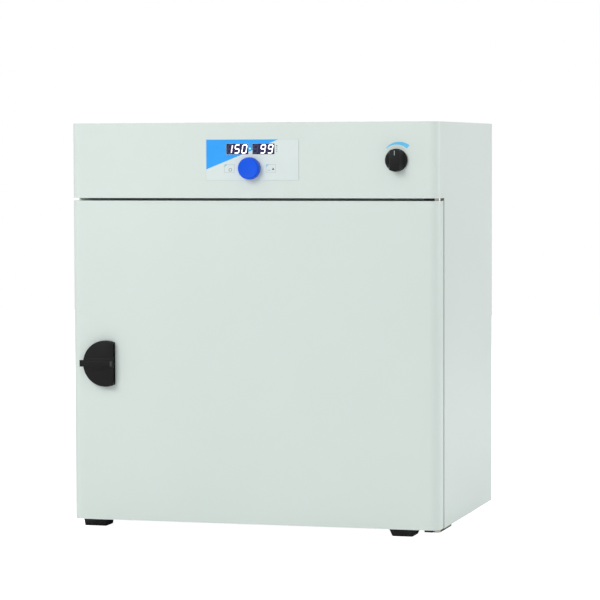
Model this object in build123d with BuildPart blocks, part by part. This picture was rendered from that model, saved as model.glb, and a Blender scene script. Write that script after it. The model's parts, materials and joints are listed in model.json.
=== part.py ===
"""Bench-top hot air sterilizer: a painted steel cabinet with a stainless chamber,
a side-hinged door with a pull handle, a control fascia and an exhaust damper.

Millimetres. +Z is up, the door faces -Y, and the origin is on the floor below
the middle of the whole machine.
"""
import os
from math import asin, cos, radians, sin, sqrt

from build123d import *

os.makedirs("parts", exist_ok=True)

# Cabinet
case_width = 636.0
case_depth = 440.0            # from the door's face to the rear
fascia_height = 125.5
sheet = 1.5                   # painted steel sheet
steel_sheet = 1.2             # stainless sheet
front_edge_radius = 15.0      # upright edges of the door and the fascia
rear_edge_radius = 13.0
rear_return = 30.0            # fold of each side panel behind the machine
panel_fold = 12.0             # folds along the top cover and the base plate
frame_fold = 16.0
frame_above_door = 16.0       # how far the front frame runs up behind the fascia

# Clearances
loose_gap = 0.3               # between pieces that move past each other
running_gap = 0.05            # round a shaft that turns in a hole
hole_gap = 0.1                # round a fixed screw, stud or pin
slip_gap = 0.5                # round a piece that is dropped into a cut-out

# Door
door_height = 540.0
door_top_gap = 4.5
door_depth = 34.0
door_lip = 14.0               # fold that carries the inner panel
seal_gap = 4.0                # from the back of the door to the chamber's flange
inner_panel_margin = 1.5      # the inner panel stops this far inside the skin's edge
pressing_inset = 14.0         # pressed field, inside the chamber's mouth
pressing_rise = 6.0
pressing_slope = 40.0         # degrees
pressing_radius = 20.0
door_wool_gap = 1.0
seal_width = 12.0
seal_inset = 5.0              # from the chamber's mouth to the seal
seal_lip = 2.5                # rounding of the seal's edges

# Hinges
hinge_from_side = 7.0
hinge_from_front = 16.0
hinge_plate = 3.5
hinge_plate_width = 26.0
hinge_plate_margin = 1.0      # from the side of the machine to the plate
hinge_plate_tail = 60.0       # length of plate under the base
hinge_collar = 1.0            # the pin's collar that the door rests on
hinge_boss_radius = 6.0
hinge_pin_radius = 4.0
hinge_pin_reach = 15.0
bush_radius = 5.2
bush_length = 17.0
bush_flange_overhang = 3.0    # of the flange beyond the axis, towards the side
bush_flange = 3.0
bush_flange_length = 34.0
bush_flange_width = 15.0

# Handle, set in the door near its free edge
handle_from_side = 62.0       # centre of the round part
handle_from_bottom = 265.5
handle_radius = 39.0
handle_chord = 14.5           # from the centre to the straight edge
handle_corner = 4.0
handle_stand = 12.5           # outer face of the paddle in front of the door
handle_wall = 3.0
handle_skirt = 7.0            # depth of the paddle's rim
handle_rib_height = 20.0
handle_rib_rise = 0.9
handle_bar_height = 11.0
handle_bar_rise = 2.2
handle_edge = 1.4
tab_reach = 5.5               # stop tab beyond the round rim
tab_thickness = 3.5
pivot_from_centre = 28.0
pivot_stand = 5.5
pivot_radius = 3.0
pivot_pin_radius = 1.5
pivot_lug = 5.0
cup_flange = 1.2
cup_flange_margin = 0.5
cup_wall = 2.0
cup_depth = 13.0
cup_height = 54.0
cup_left = 12.0               # finger hollow, left of the handle's centre
cup_right = 12.0
well_height = 20.0            # passage for the latch arm through the door
well_before_pivot = 4.0
well_past_pivot = 36.0
arm_width = 5.0
arm_foot = 3.0
armature_length = 20.0
armature_height = 16.0
armature_thickness = 3.0
magnet_length = 18.0
magnet_height = 14.0
magnet_depth = 7.0
magnet_stand = 1.5            # in front of the frame
magnet_groove = 4.0
magnet_groove_depth = 1.0
magnet_lip = 3.0
magnet_lip_thickness = 1.5

# Chamber
chamber_radius = 12.0
chamber_flange = 20.0
plenum_depth = 43.0           # behind the perforated baffle

# Insulation of mineral wool
side_wool = 66.0
side_air = 24.3               # from the side insulation to the panel
top_wool = 48.0
bottom_wool = 46.0
bottom_air = 7.3
rear_wool = 28.0
motor_room = 47.8             # behind the rear insulation
motor_hole_radius = 24.0      # through the rear insulation, round the motor's shaft

# Baffle
baffle_side_gap = 1.0
baffle_hole_radius = 4.0
baffle_hole_rings = (14.0, 28.0, 42.0, 56.0)
baffle_holes_inner = 6        # holes in the first ring, and more by as many in each next ring
baffle_slot_length = 52.0
baffle_slot_width = 7.0
baffle_slot_pitch = 26.0
baffle_slot_end = 68.0        # from the first slot to the baffle's edge
baffle_slot_from_side = 40.0

# Racks and shelves
rack_first_level = 62.0       # above the chamber's floor
rack_pitch = 72.0
rack_headroom = 60.0          # at least, above the top level
rack_stud = 4.0
rack_stud_radius = 5.0
rack_sheet = 2.0
rack_post_width = 20.0
rack_post_margin = 18.0       # from the end of the rail to the post's centre
rack_ledge = 14.0
rack_web = 12.0
shelf_front_gap = 18.0        # from the chamber's flange to the shelf
shelf_rear_gap = 4.0
shelf_side_gap = 2.0          # from the rack's post to the shelf
shelf_rim_radius = 3.0
shelf_wire_radius = 1.5
shelf_wire_pitch = 24.0
shelf_brace_radius = 2.0
shelf_corner = 14.0
lower_shelf_level = 1
upper_shelf_from_top = 2      # levels above it that stay free, and one more
shelf_braces = 2

# Fan
fan_radius = 88.0
fan_depth = 25.0
fan_plate = 1.2
fan_hub_radius = 13.0
fan_blade_count = 12
fan_blade_inner = 40.0
fan_blade_sweep = 24.0        # degrees from the root of a blade to its tip
fan_blade_bulge = 0.16        # rise of a blade's curve over its chord
fan_front_gap = 5.0
fan_eye_radius = 52.0         # front ring round the fan's inlet
shaft_radius = 4.0
shaft_hole_gap = 3.0

# Motor, on posts behind the chamber
motor_stack = 72.0            # side of the lamination stack
motor_stack_depth = 18.0
motor_stack_radius = 8.0
motor_rotor_radius = 19.0
motor_air_gap = 0.4
motor_bell_radius = 29.0
motor_bell_depth = 10.0
motor_bell_wall = 2.0
motor_bearing_radius = 8.0
motor_coil_width = 44.0
motor_coil_height = 16.0
motor_post_radius = 4.0
motor_post_spacing = 54.0

# Heater and sensor
heater_tube_radius = 4.25
heater_ring_radius = 116.0
heater_opening = 64.0         # gap in the ring, above the two legs
heater_bend = 14.0
heater_leg_reach = 12.0       # beyond the rear wall
heater_collar_radius = 8.0
heater_collar = 3.0
probe_radius = 2.5
probe_reach = 34.0            # in front of the baffle
probe_tail = 14.0
probe_from_side = 70.0
probe_from_top = 16.0
probe_collar_radius = 8.0
probe_collar = 4.0

# Electronics bay above the chamber
tray_rise = 3.0               # above the top insulation
tray_drop = 7.3               # below the fascia's lower edge
tray_fold = 12.0
board_sheet = 1.6
power_board_length = 150.0
power_board_width = 110.0
power_board_x = -150.0
power_board_from_rear = 140.0
standoff_height = 8.0
standoff_radius = 3.0
standoff_margin = 6.0
transformer_size = (52.0, 44.0, 36.0)
transformer_inset = 37.5      # from the board's end to its middle
terminal_size = (60.0, 12.0, 14.0)
terminal_inset = 18.3
capacitor_radius = 9.0
capacitor_height = 22.0
capacitor_inset = 36.7
capacitor_pitch = 27.0
relay_width = 44.0
relay_length = 58.0
relay_height = 26.0
relay_x = 20.0
heatsink_width = 44.0
heatsink_gap = 14.0
heatsink_base = 5.0
heatsink_fin = 2.0
heatsink_fin_height = 24.0
heatsink_fins = 9

# Fascia and its controls
panel_x = 1.0                 # centre of the printed overlay
panel_rise = 0.75             # above the middle of the fascia
panel_width = 160.0
panel_height = 68.0
panel_thickness = 0.6
panel_corner = 1.5
display_width = 37.8
display_height = 17.5
display_pitch = 45.2
display_x = -2.0
display_rise = 18.75          # above the middle of the fascia
display_sunk = 0.3
control_board_depth = 12.0    # from the fascia's face to the board
control_board_width = 130.0
control_board_height = 58.0
control_post_radius = 3.0
control_post_margin = 6.0
encoder_x = -2.5
encoder_drop = 13.45          # below the middle of the fascia
encoder_body_size = 13.0
encoder_body_depth = 7.0
encoder_bush_radius = 4.5
encoder_bush_reach = 2.6
encoder_shaft_radius = 3.0
encoder_travel = 0.8
encoder_plunger_radius = 2.6
encoder_plunger_length = 1.6
encoder_knob_radius = 18.5
encoder_knob_stand = 14.0
encoder_knob_lift = 1.8       # from the fascia to the knob's rear edge
encoder_knob_taper = 3.0      # degrees
encoder_knob_wall = 2.2
encoder_knob_edge = 2.0
encoder_hub_radius = 6.0

# Exhaust damper: knob, long rod and a ported disc at the rear
damper_from_side = 71.0
damper_drop = 0.45            # below the middle of the fascia
damper_rod_radius = 3.0
damper_knob_radius = 18.8
damper_knob_stand = 16.0
damper_knob_skirt = 4.0
damper_grip_width = 13.0
damper_grip_scoop = 60.0
damper_knob_edge = 1.2
damper_knob_taper = 2.0       # degrees
damper_bush_radius = 6.0
damper_bush_flange_radius = 9.0
damper_bush_flange = 1.0
damper_bush_length = 10.0
duct_width = 150.0
duct_height = 60.0
duct_left_of_rod = 118.0      # the duct reaches towards the flue by this much
flue_radius = 19.0
flue_from_duct_corner = 32.0
port_radius = 21.0
port_inner_radius = 7.0
port_angle = 84.0
damper_travel = 42.0          # degrees each way from half open
damper_disc_sheet = 1.4
damper_disc_margin = 4.0
pipe_radius = 25.0
pipe_wall = 1.5
pipe_reach = 24.0
pipe_flange_radius = 36.0
pipe_flange = 1.5

# Feet
foot_height = 15.0
foot_length = 48.0
foot_base_length = 34.0
foot_width = 38.0
foot_stud_radius = 3.0
foot_stud_reach = 6.0
foot_left_inset = 28.0
foot_right_inset = 69.0
foot_front_inset = 50.0       # from the door's face
foot_rear_inset = 36.0

# Rear panel
rear_overlap = 16.0           # of the rear panel behind the side returns
screw_radius = 1.9
screw_length = 6.0
screw_head_radius = 4.0
screw_head = 2.0
rear_screw_rows = 4
rear_screw_margin = 46.0
vent_length = 64.0
vent_width = 4.0
vent_pitch = 11.0
motor_vents = 9
bay_vents = 6
bay_vent_x = -60.0

# Mains inlet and switch on the rear
mains_from_side = 82.0
mains_drop = 1.25             # below the middle of the fascia
inlet_width = 30.0
inlet_height = 23.0
inlet_rim = 3.5
inlet_rim_thickness = 2.0
inlet_depth = 24.0
inlet_socket_width = 24.4
inlet_socket_height = 16.4
inlet_socket_depth = 16.0
inlet_chamfer = 4.5
inlet_pin_size = (2.0, 4.0, 13.0)
inlet_pin_spacing = 7.0
inlet_pin_drop = 2.0
switch_from_inlet = 46.0
switch_width = 17.0
switch_height = 24.0
switch_rim = 2.0
switch_rim_thickness = 1.6
switch_depth = 18.0
switch_wall = 1.5
rocker_pivot_depth = 2.5
rocker_tilt = 11.0            # degrees each way
rocker_crown = 6.2            # from the axle to the raised ends
rocker_dip = 2.0
rocker_half_height = 8.8
rocker_foot = 6.0
rocker_body_depth = 6.0
rocker_axle_radius = 1.2

# Places worked out from the sizes above
half_width = case_width / 2
front_reach = max(damper_knob_stand, encoder_knob_stand, handle_stand + handle_bar_rise)
front_y = front_reach - (front_reach + case_depth + pipe_reach) / 2
rear_y = front_y + case_depth
door_back_y = front_y + door_depth
seal_y = door_back_y + seal_gap
frame_y = seal_y + steel_sheet
rear_panel_y = rear_y - sheet
bay_rear_y = rear_panel_y - sheet
chamber_rear_y = bay_rear_y - motor_room - rear_wool - steel_sheet
chamber_depth = chamber_rear_y - seal_y
baffle_y = chamber_rear_y - plenum_depth

base_z = foot_height
door_bottom_z = base_z + hinge_collar
door_top_z = door_bottom_z + door_height
fascia_z = door_top_z + door_top_gap
case_top_z = fascia_z + fascia_height
fascia_middle_z = fascia_z + fascia_height / 2
frame_top_z = fascia_z + frame_above_door
door_z = door_bottom_z + door_height / 2
tray_z = fascia_z - tray_drop
chamber_floor_z = base_z + sheet + bottom_air + bottom_wool + steel_sheet
chamber_roof_z = tray_z - tray_rise - top_wool - steel_sheet
chamber_z = (chamber_floor_z + chamber_roof_z) / 2
chamber_height = chamber_roof_z - chamber_floor_z
chamber_width = case_width - 2 * (sheet + side_air + side_wool + steel_sheet)
rack_levels = 1 + int((chamber_height - rack_first_level - rack_headroom) / rack_pitch)
upper_shelf_level = rack_levels - upper_shelf_from_top

hinge_x = half_width - hinge_from_side
hinge_y = front_y + hinge_from_front
handle_x = -half_width + handle_from_side
handle_z = door_bottom_z + handle_from_bottom
pivot_x = handle_x - pivot_from_centre
pivot_y = front_y - pivot_stand
pocket_x = handle_x + (cup_right - cup_left) / 2
pocket_length = cup_left + cup_right
well_x = pivot_x + (well_past_pivot - well_before_pivot) / 2
well_length = well_before_pivot + well_past_pivot
magnet_y = frame_y - magnet_stand
armature_y = magnet_y - loose_gap
damper_x = half_width - damper_from_side
damper_axis_z = fascia_middle_z - damper_drop
display_axis_z = fascia_middle_z + display_rise
encoder_axis_z = fascia_middle_z - encoder_drop
mains_x = -half_width + mains_from_side
mains_axis_z = fascia_middle_z - mains_drop
switch_x = mains_x + switch_from_inlet

flue_x = damper_x - duct_left_of_rod + flue_from_duct_corner
flue_y = chamber_rear_y - plenum_depth / 2
rear_screw_x = half_width - (rear_return + rear_edge_radius) / 2
rear_screw_pitch = (case_top_z - base_z - 2 * rear_screw_margin) / (rear_screw_rows - 1)
rear_screw_z = [base_z + rear_screw_margin + row * rear_screw_pitch for row in range(rear_screw_rows)]
foot_places = {
    "front left": (-half_width + foot_left_inset, front_y + foot_front_inset),
    "front right": (half_width - foot_right_inset, front_y + foot_front_inset),
    "rear left": (-half_width + foot_left_inset, rear_y - foot_rear_inset),
    "rear right": (half_width - foot_right_inset, rear_y - foot_rear_inset),
}
heater_half_gap = asin(heater_opening / 2 / heater_ring_radius)
heater_leg_x = heater_opening / 2 - heater_bend * cos(heater_half_gap)
heater_leg_z = chamber_z - heater_ring_radius * cos(heater_half_gap) - heater_bend * sin(heater_half_gap)
heater_legs = [(side * heater_leg_x, heater_leg_z) for side in (-1, 1)]
probe_x = chamber_width / 2 - probe_from_side
probe_z = chamber_roof_z - probe_from_top
motor_posts = [
    (x * motor_post_spacing / 2, chamber_z + z * motor_post_spacing / 2) for x in (-1, 1) for z in (-1, 1)
]


def upright(y):
    """Upright plane across the machine at depth y. Its sketches grow towards the front."""
    return Plane.XZ.offset(-y)


def plan(z):
    """Level plane at height z."""
    return Plane.XY.offset(z)


def block(x_range, y_range, z_range, mode=Mode.ADD):
    """Box between two corners, in the part being made."""
    ranges = (x_range, y_range, z_range)
    centre = tuple((low + high) / 2 for low, high in ranges)
    with Locations(centre):
        Box(*[high - low for low, high in ranges], mode=mode)


def rounded_front(width, near_y, far_y, radius):
    """Plan of a front shell in the sketch being made, with its two front corners rounded."""
    with BuildLine() as outline:
        FilletPolyline(
            (-width / 2, far_y), (-width / 2, near_y), (width / 2, near_y), (width / 2, far_y), radius=radius
        )
        Line((width / 2, far_y), (-width / 2, far_y))
    make_face(outline.edges())


def cup_outline(margin):
    """Finger hollow and latch passage of the handle, grown by a margin, in the sketch being made."""
    with Locations((pocket_x, handle_z)):
        Rectangle(pocket_length + 2 * margin, cup_height + 2 * margin)
    with Locations((well_x, handle_z)):
        Rectangle(well_length + 2 * margin, well_height + 2 * margin)


def port_outline(start, mode=Mode.ADD):
    """One of the two fan-shaped ports round the damper's axis, in the sketch being made."""
    centre = (damper_x, damper_axis_z)
    with BuildLine() as outline:
        rim = CenterArc(centre, port_radius, start, port_angle)
        root = CenterArc(centre, port_inner_radius, start, port_angle)
        Line(rim @ 0, root @ 0)
        Line(rim @ 1, root @ 1)
    make_face(outline.edges(), mode=mode)


def handle_outline(radius, chord):
    """Round outline with one straight edge on the right, in the sketch being made."""
    half_edge = sqrt(radius**2 - chord**2)
    with BuildLine() as outline:
        ThreePointArc(
            (handle_x + chord, handle_z + half_edge),
            (handle_x - radius, handle_z),
            (handle_x + chord, handle_z - half_edge),
        )
        Line((handle_x + chord, handle_z - half_edge), (handle_x + chord, handle_z + half_edge))
    make_face(outline.edges())


# Cabinet panels

with BuildPart() as side_panel_left:
    with BuildSketch(plan(base_z)):
        with BuildLine():
            FilletPolyline(
                (-half_width, frame_y),
                (-half_width, rear_y),
                (-half_width + rear_return, rear_y),
                radius=rear_edge_radius,
            )
            offset(amount=sheet, side=Side.RIGHT)
        make_face()
    extrude(amount=case_top_z - base_z)
    with BuildSketch(upright(rear_y)):
        with Locations([(-rear_screw_x, z) for z in rear_screw_z]):
            Circle(screw_radius + hole_gap)
    extrude(amount=sheet, mode=Mode.SUBTRACT)
side_panel_left.part.label = "side_panel_left"
export_step(side_panel_left.part, "parts/side_panel_left.step")

with BuildPart() as side_panel_right:
    mirror(side_panel_left.part, about=Plane.YZ)
side_panel_right.part.label = "side_panel_right"
export_step(side_panel_right.part, "parts/side_panel_right.step")

with BuildPart() as top_cover:
    with BuildSketch(plan(case_top_z - sheet)) as cover_plan:
        with Locations((0, (frame_y + rear_panel_y) / 2)):
            Rectangle(case_width - 2 * sheet, rear_panel_y - frame_y)
        fillet(cover_plan.vertices().group_by(Axis.Y)[-1], rear_edge_radius - sheet)
    extrude(amount=sheet)
    for side in (-1, 1):
        inner, outer = half_width - sheet - sheet, half_width - sheet
        x_range = sorted((side * inner, side * outer))
        block(x_range, (frame_y, rear_panel_y - rear_edge_radius), (case_top_z - panel_fold, case_top_z - sheet))
top_cover.part.label = "top_cover"
export_step(top_cover.part, "parts/top_cover.step")

with BuildPart() as base_plate:
    with BuildSketch(plan(base_z)) as base_plan:
        with Locations((0, (frame_y + rear_panel_y) / 2)):
            Rectangle(case_width - 2 * sheet, rear_panel_y - frame_y)
        fillet(base_plan.vertices().group_by(Axis.Y)[-1], rear_edge_radius - sheet)
    extrude(amount=sheet)
    for side in (-1, 1):
        inner, outer = half_width - sheet - sheet, half_width - sheet
        x_range = sorted((side * inner, side * outer))
        block(x_range, (frame_y + frame_fold + sheet, rear_panel_y - rear_edge_radius), (base_z, base_z + panel_fold))
    with BuildSketch(plan(base_z)):
        with Locations(list(foot_places.values())):
            Circle(foot_stud_radius + hole_gap)
    extrude(amount=sheet, mode=Mode.SUBTRACT)
base_plate.part.label = "base_plate"
export_step(base_plate.part, "parts/base_plate.step")

with BuildPart() as front_frame:
    frame_bottom_z = base_z + sheet
    frame_x = (-half_width + sheet, half_width - sheet)
    block(frame_x, (frame_y, frame_y + frame_fold), (frame_bottom_z, frame_top_z))
    block(
        [frame_x[0] + sheet, frame_x[1] - sheet],
        (frame_y + sheet, frame_y + frame_fold),
        (frame_bottom_z + sheet, frame_top_z - sheet),
        mode=Mode.SUBTRACT,
    )
    with BuildSketch(upright(frame_y + sheet)):
        with Locations((0, chamber_z)):
            RectangleRounded(
                chamber_width + 2 * (steel_sheet + hole_gap),
                chamber_height + 2 * (steel_sheet + hole_gap),
                chamber_radius + steel_sheet + hole_gap,
            )
        with Locations((pivot_x + magnet_length / 2, handle_z)):
            Rectangle(magnet_length + 2 * hole_gap, magnet_height + 2 * hole_gap)
    extrude(amount=sheet, mode=Mode.SUBTRACT)
    with BuildSketch(plan(frame_bottom_z)):
        with Locations(list(foot_places.values())):
            Circle(foot_stud_radius + hole_gap)
    extrude(amount=sheet, mode=Mode.SUBTRACT)
front_frame.part.label = "front_frame"
export_step(front_frame.part, "parts/front_frame.step")

with BuildPart() as rear_panel:
    rear_panel_half = half_width - rear_return + rear_overlap
    block((-rear_panel_half, rear_panel_half), (bay_rear_y, rear_panel_y), (base_z + sheet, case_top_z - sheet))
    with BuildSketch(upright(rear_panel_y)):
        with Locations([(side * rear_screw_x, z) for side in (-1, 1) for z in rear_screw_z]):
            Circle(screw_radius + hole_gap)
        with Locations((damper_x, damper_axis_z)):
            Circle(pipe_radius + hole_gap)
        with Locations((mains_x, mains_axis_z)):
            Rectangle(inlet_width + 2 * hole_gap, inlet_height + 2 * hole_gap)
        with Locations((switch_x, mains_axis_z)):
            Rectangle(switch_width + 2 * hole_gap, switch_height + 2 * hole_gap)
        with Locations((0, chamber_z)):
            with GridLocations(vent_length + 2 * vent_pitch, vent_pitch, 2, motor_vents):
                SlotOverall(vent_length, vent_width)
        with Locations((bay_vent_x, mains_axis_z)):
            with GridLocations(vent_length + 2 * vent_pitch, vent_pitch, 2, bay_vents):
                SlotOverall(vent_length, vent_width)
    extrude(amount=sheet, mode=Mode.SUBTRACT)
rear_panel.part.label = "rear_panel"
export_step(rear_panel.part, "parts/rear_panel.step")

with BuildPart() as case_screws:
    with BuildSketch(upright(rear_y)):
        with Locations([(side * rear_screw_x, z) for side in (-1, 1) for z in rear_screw_z]):
            Circle(screw_radius)
    extrude(amount=screw_length)
    with BuildSketch(upright(rear_y + screw_head)):
        with Locations([(side * rear_screw_x, z) for side in (-1, 1) for z in rear_screw_z]):
            Circle(screw_head_radius)
    extrude(amount=screw_head)
    fillet(case_screws.edges().group_by(Axis.Y)[-1], screw_head / 2)
case_screws.part.label = "case_screws"
export_step(case_screws.part, "parts/case_screws.step")

with BuildPart() as feet:
    for index, (place, (x, y)) in enumerate(foot_places.items()):
        turned = place in ("front left", "rear right")
        top_size = (foot_width, foot_length) if turned else (foot_length, foot_width)
        base_size = (foot_width, foot_base_length) if turned else (foot_base_length, foot_width)
        with BuildSketch(plan(0)):
            with Locations((x, y)):
                Rectangle(*base_size)
        with BuildSketch(plan(foot_height)):
            with Locations((x, y)):
                Rectangle(*top_size)
        loft()
        with BuildSketch(plan(foot_height)):
            with Locations((x, y)):
                Circle(foot_stud_radius)
        extrude(amount=foot_stud_reach)
feet.part.label = "feet"
export_step(feet.part, "parts/feet.step")

# Fascia and its controls

with BuildPart() as fascia:
    with BuildSketch(plan(fascia_z)):
        rounded_front(case_width, front_y, frame_y, front_edge_radius)
    extrude(amount=fascia_height)
    with BuildSketch(plan(fascia_z + sheet)):
        rounded_front(case_width - 2 * sheet, front_y + sheet, frame_y, front_edge_radius - sheet)
    extrude(amount=fascia_height - 2 * sheet, mode=Mode.SUBTRACT)
    with BuildSketch(upright(front_y + sheet)):
        with Locations((display_x, display_axis_z)):
            with GridLocations(display_pitch, 1, 2, 1):
                Rectangle(display_width + 2 * hole_gap, display_height + 2 * hole_gap)
        with Locations((encoder_x, encoder_axis_z)):
            Circle(encoder_bush_radius + hole_gap)
        with Locations((damper_x, damper_axis_z)):
            Circle(damper_bush_radius + hole_gap)
    extrude(amount=sheet, mode=Mode.SUBTRACT)
fascia.part.label = "fascia"
export_step(fascia.part, "parts/fascia.step")

with BuildPart() as membrane:
    with BuildSketch(upright(front_y)):
        with Locations((panel_x, fascia_middle_z + panel_rise)):
            RectangleRounded(panel_width, panel_height, panel_corner)
        with Locations((display_x, display_axis_z)):
            with GridLocations(display_pitch, 1, 2, 1):
                Rectangle(display_width + 2 * hole_gap, display_height + 2 * hole_gap, mode=Mode.SUBTRACT)
        with Locations((encoder_x, encoder_axis_z)):
            Circle(encoder_bush_radius + hole_gap, mode=Mode.SUBTRACT)
    extrude(amount=panel_thickness)
membrane.part.label = "membrane"
export_step(membrane.part, "parts/membrane.step")

control_board_y = front_y + control_board_depth
with BuildPart() as display_modules:
    with BuildSketch(upright(control_board_y)):
        with Locations((display_x, display_axis_z)):
            with GridLocations(display_pitch, 1, 2, 1):
                Rectangle(display_width, display_height)
    extrude(amount=control_board_depth + display_sunk)
display_modules.part.label = "display_modules"
export_step(display_modules.part, "parts/display_modules.step")

with BuildPart() as control_board:
    board_z = (display_axis_z + encoder_axis_z) / 2
    with BuildSketch(upright(control_board_y + board_sheet)):
        with Locations((display_x, board_z)):
            RectangleRounded(control_board_width, control_board_height, panel_corner)
    extrude(amount=board_sheet)
    with BuildSketch(upright(control_board_y)):
        with Locations((display_x, board_z)):
            with GridLocations(
                control_board_width - 2 * control_post_margin, control_board_height - 2 * control_post_margin, 2, 2
            ):
                Circle(control_post_radius)
    extrude(amount=control_board_depth - sheet)
control_board.part.label = "control_board"
export_step(control_board.part, "parts/control_board.step")

with BuildPart() as encoder_body:
    with BuildSketch(upright(control_board_y)):
        with Locations((encoder_x, encoder_axis_z)):
            Rectangle(encoder_body_size, encoder_body_size)
    extrude(amount=encoder_body_depth)
    with BuildSketch(upright(control_board_y - encoder_body_depth)):
        with Locations((encoder_x, encoder_axis_z)):
            Circle(encoder_bush_radius)
    extrude(amount=control_board_depth - encoder_body_depth + encoder_bush_reach)
    with BuildSketch(upright(control_board_y - board_sheet / 2)):
        with Locations((encoder_x, encoder_axis_z)):
            Circle(encoder_shaft_radius + running_gap)
    extrude(amount=control_board_depth + encoder_bush_reach, mode=Mode.SUBTRACT)
encoder_body.part.label = "encoder_body"
export_step(encoder_body.part, "parts/encoder_body.step")

with BuildPart() as encoder_plunger:
    with BuildSketch(upright(control_board_y - board_sheet / 2 - encoder_travel - loose_gap)):
        with Locations((encoder_x, encoder_axis_z)):
            Circle(encoder_plunger_radius)
    extrude(amount=encoder_plunger_length)
encoder_plunger.part.label = "encoder_plunger"
export_step(encoder_plunger.part, "parts/encoder_plunger.step")

encoder_shaft_y = control_board_y - board_sheet / 2 - encoder_travel - loose_gap - encoder_plunger_length
knob_back_y = front_y - encoder_knob_lift
knob_face_y = front_y - encoder_knob_stand
knob_inside_y = knob_face_y + encoder_knob_wall
with BuildPart() as encoder_shaft:
    with BuildSketch(upright(encoder_shaft_y)):
        with Locations((encoder_x, encoder_axis_z)):
            Circle(encoder_shaft_radius)
    extrude(amount=encoder_shaft_y - knob_inside_y)
encoder_shaft.part.label = "encoder_shaft"
export_step(encoder_shaft.part, "parts/encoder_shaft.step")

hub_back_y = front_y - encoder_bush_reach - encoder_travel - loose_gap
with BuildPart() as encoder_knob:
    with BuildSketch(upright(knob_back_y)):
        with Locations((encoder_x, encoder_axis_z)):
            Circle(encoder_knob_radius)
    extrude(amount=knob_back_y - knob_face_y, taper=encoder_knob_taper)
    fillet(encoder_knob.edges().group_by(Axis.Y)[0], encoder_knob_edge)
    with BuildSketch(upright(knob_back_y)):
        with Locations((encoder_x, encoder_axis_z)):
            Circle(encoder_knob_radius - encoder_knob_wall)
    extrude(amount=knob_back_y - knob_inside_y, taper=encoder_knob_taper, mode=Mode.SUBTRACT)
    with BuildSketch(upright(hub_back_y)):
        with Locations((encoder_x, encoder_axis_z)):
            Circle(encoder_hub_radius)
            Circle(encoder_shaft_radius, mode=Mode.SUBTRACT)
    extrude(amount=hub_back_y - knob_inside_y)
encoder_knob.part.label = "encoder_knob"
export_step(encoder_knob.part, "parts/encoder_knob.step")

# Chamber

chamber_back_y = chamber_rear_y + steel_sheet
with BuildPart() as chamber_shell:
    with BuildSketch(upright(chamber_rear_y)):
        with Locations((0, chamber_z)):
            RectangleRounded(
                chamber_width + 2 * steel_sheet, chamber_height + 2 * steel_sheet, chamber_radius + steel_sheet
            )
    extrude(amount=chamber_depth)
    with BuildSketch(upright(frame_y)):
        with Locations((0, chamber_z)):
            RectangleRounded(
                chamber_width + 2 * chamber_flange, chamber_height + 2 * chamber_flange, chamber_radius
            )
    extrude(amount=steel_sheet)
    with BuildSketch(upright(chamber_rear_y)):
        with Locations((0, chamber_z)):
            RectangleRounded(chamber_width, chamber_height, chamber_radius)
    extrude(amount=chamber_depth, mode=Mode.SUBTRACT)
    with BuildSketch(plan(chamber_roof_z)):
        with Locations((flue_x, flue_y)):
            Circle(flue_radius - steel_sheet)
    extrude(amount=steel_sheet, mode=Mode.SUBTRACT)
chamber_shell.part.label = "chamber_shell"
export_step(chamber_shell.part, "parts/chamber_shell.step")

with BuildPart() as chamber_rear_wall:
    with BuildSketch(upright(chamber_back_y)):
        with Locations((0, chamber_z)):
            RectangleRounded(
                chamber_width + 2 * steel_sheet, chamber_height + 2 * steel_sheet, chamber_radius + steel_sheet
            )
            Circle(shaft_radius + shaft_hole_gap, mode=Mode.SUBTRACT)
        with Locations(heater_legs):
            Circle(heater_tube_radius + hole_gap, mode=Mode.SUBTRACT)
        with Locations((probe_x, probe_z)):
            Circle(probe_radius + hole_gap, mode=Mode.SUBTRACT)
    extrude(amount=steel_sheet)
chamber_rear_wall.part.label = "chamber_rear_wall"
export_step(chamber_rear_wall.part, "parts/chamber_rear_wall.step")

baffle_half_width = chamber_width / 2 - baffle_side_gap
baffle_half_height = chamber_height / 2 - baffle_side_gap
baffle_slot_rows = 1 + int(2 * (baffle_half_height - baffle_slot_end) / baffle_slot_pitch)
with BuildPart() as air_baffle:
    with BuildSketch(upright(baffle_y + steel_sheet)):
        with Locations((0, chamber_z)):
            RectangleRounded(2 * baffle_half_width, 2 * baffle_half_height, chamber_radius)
            for ring, radius in enumerate(baffle_hole_rings):
                with PolarLocations(radius, baffle_holes_inner * (ring + 1)):
                    Circle(baffle_hole_radius, mode=Mode.SUBTRACT)
            for side in (-1, 1):
                with Locations((side * (baffle_half_width - baffle_slot_from_side), 0)):
                    with GridLocations(1, baffle_slot_pitch, 1, baffle_slot_rows):
                        SlotOverall(baffle_slot_length, baffle_slot_width, mode=Mode.SUBTRACT)
        with Locations((probe_x, probe_z)):
            Circle(probe_radius + hole_gap, mode=Mode.SUBTRACT)
    extrude(amount=steel_sheet)
    for side in (-1, 1):
        x_range = sorted((side * (baffle_half_width - steel_sheet), side * baffle_half_width))
        z_range = (chamber_z - baffle_half_height + chamber_radius, chamber_z + baffle_half_height - chamber_radius)
        block(x_range, (baffle_y, chamber_rear_y), z_range)
air_baffle.part.label = "air_baffle"
export_step(air_baffle.part, "parts/air_baffle.step")

# Insulation

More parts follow.
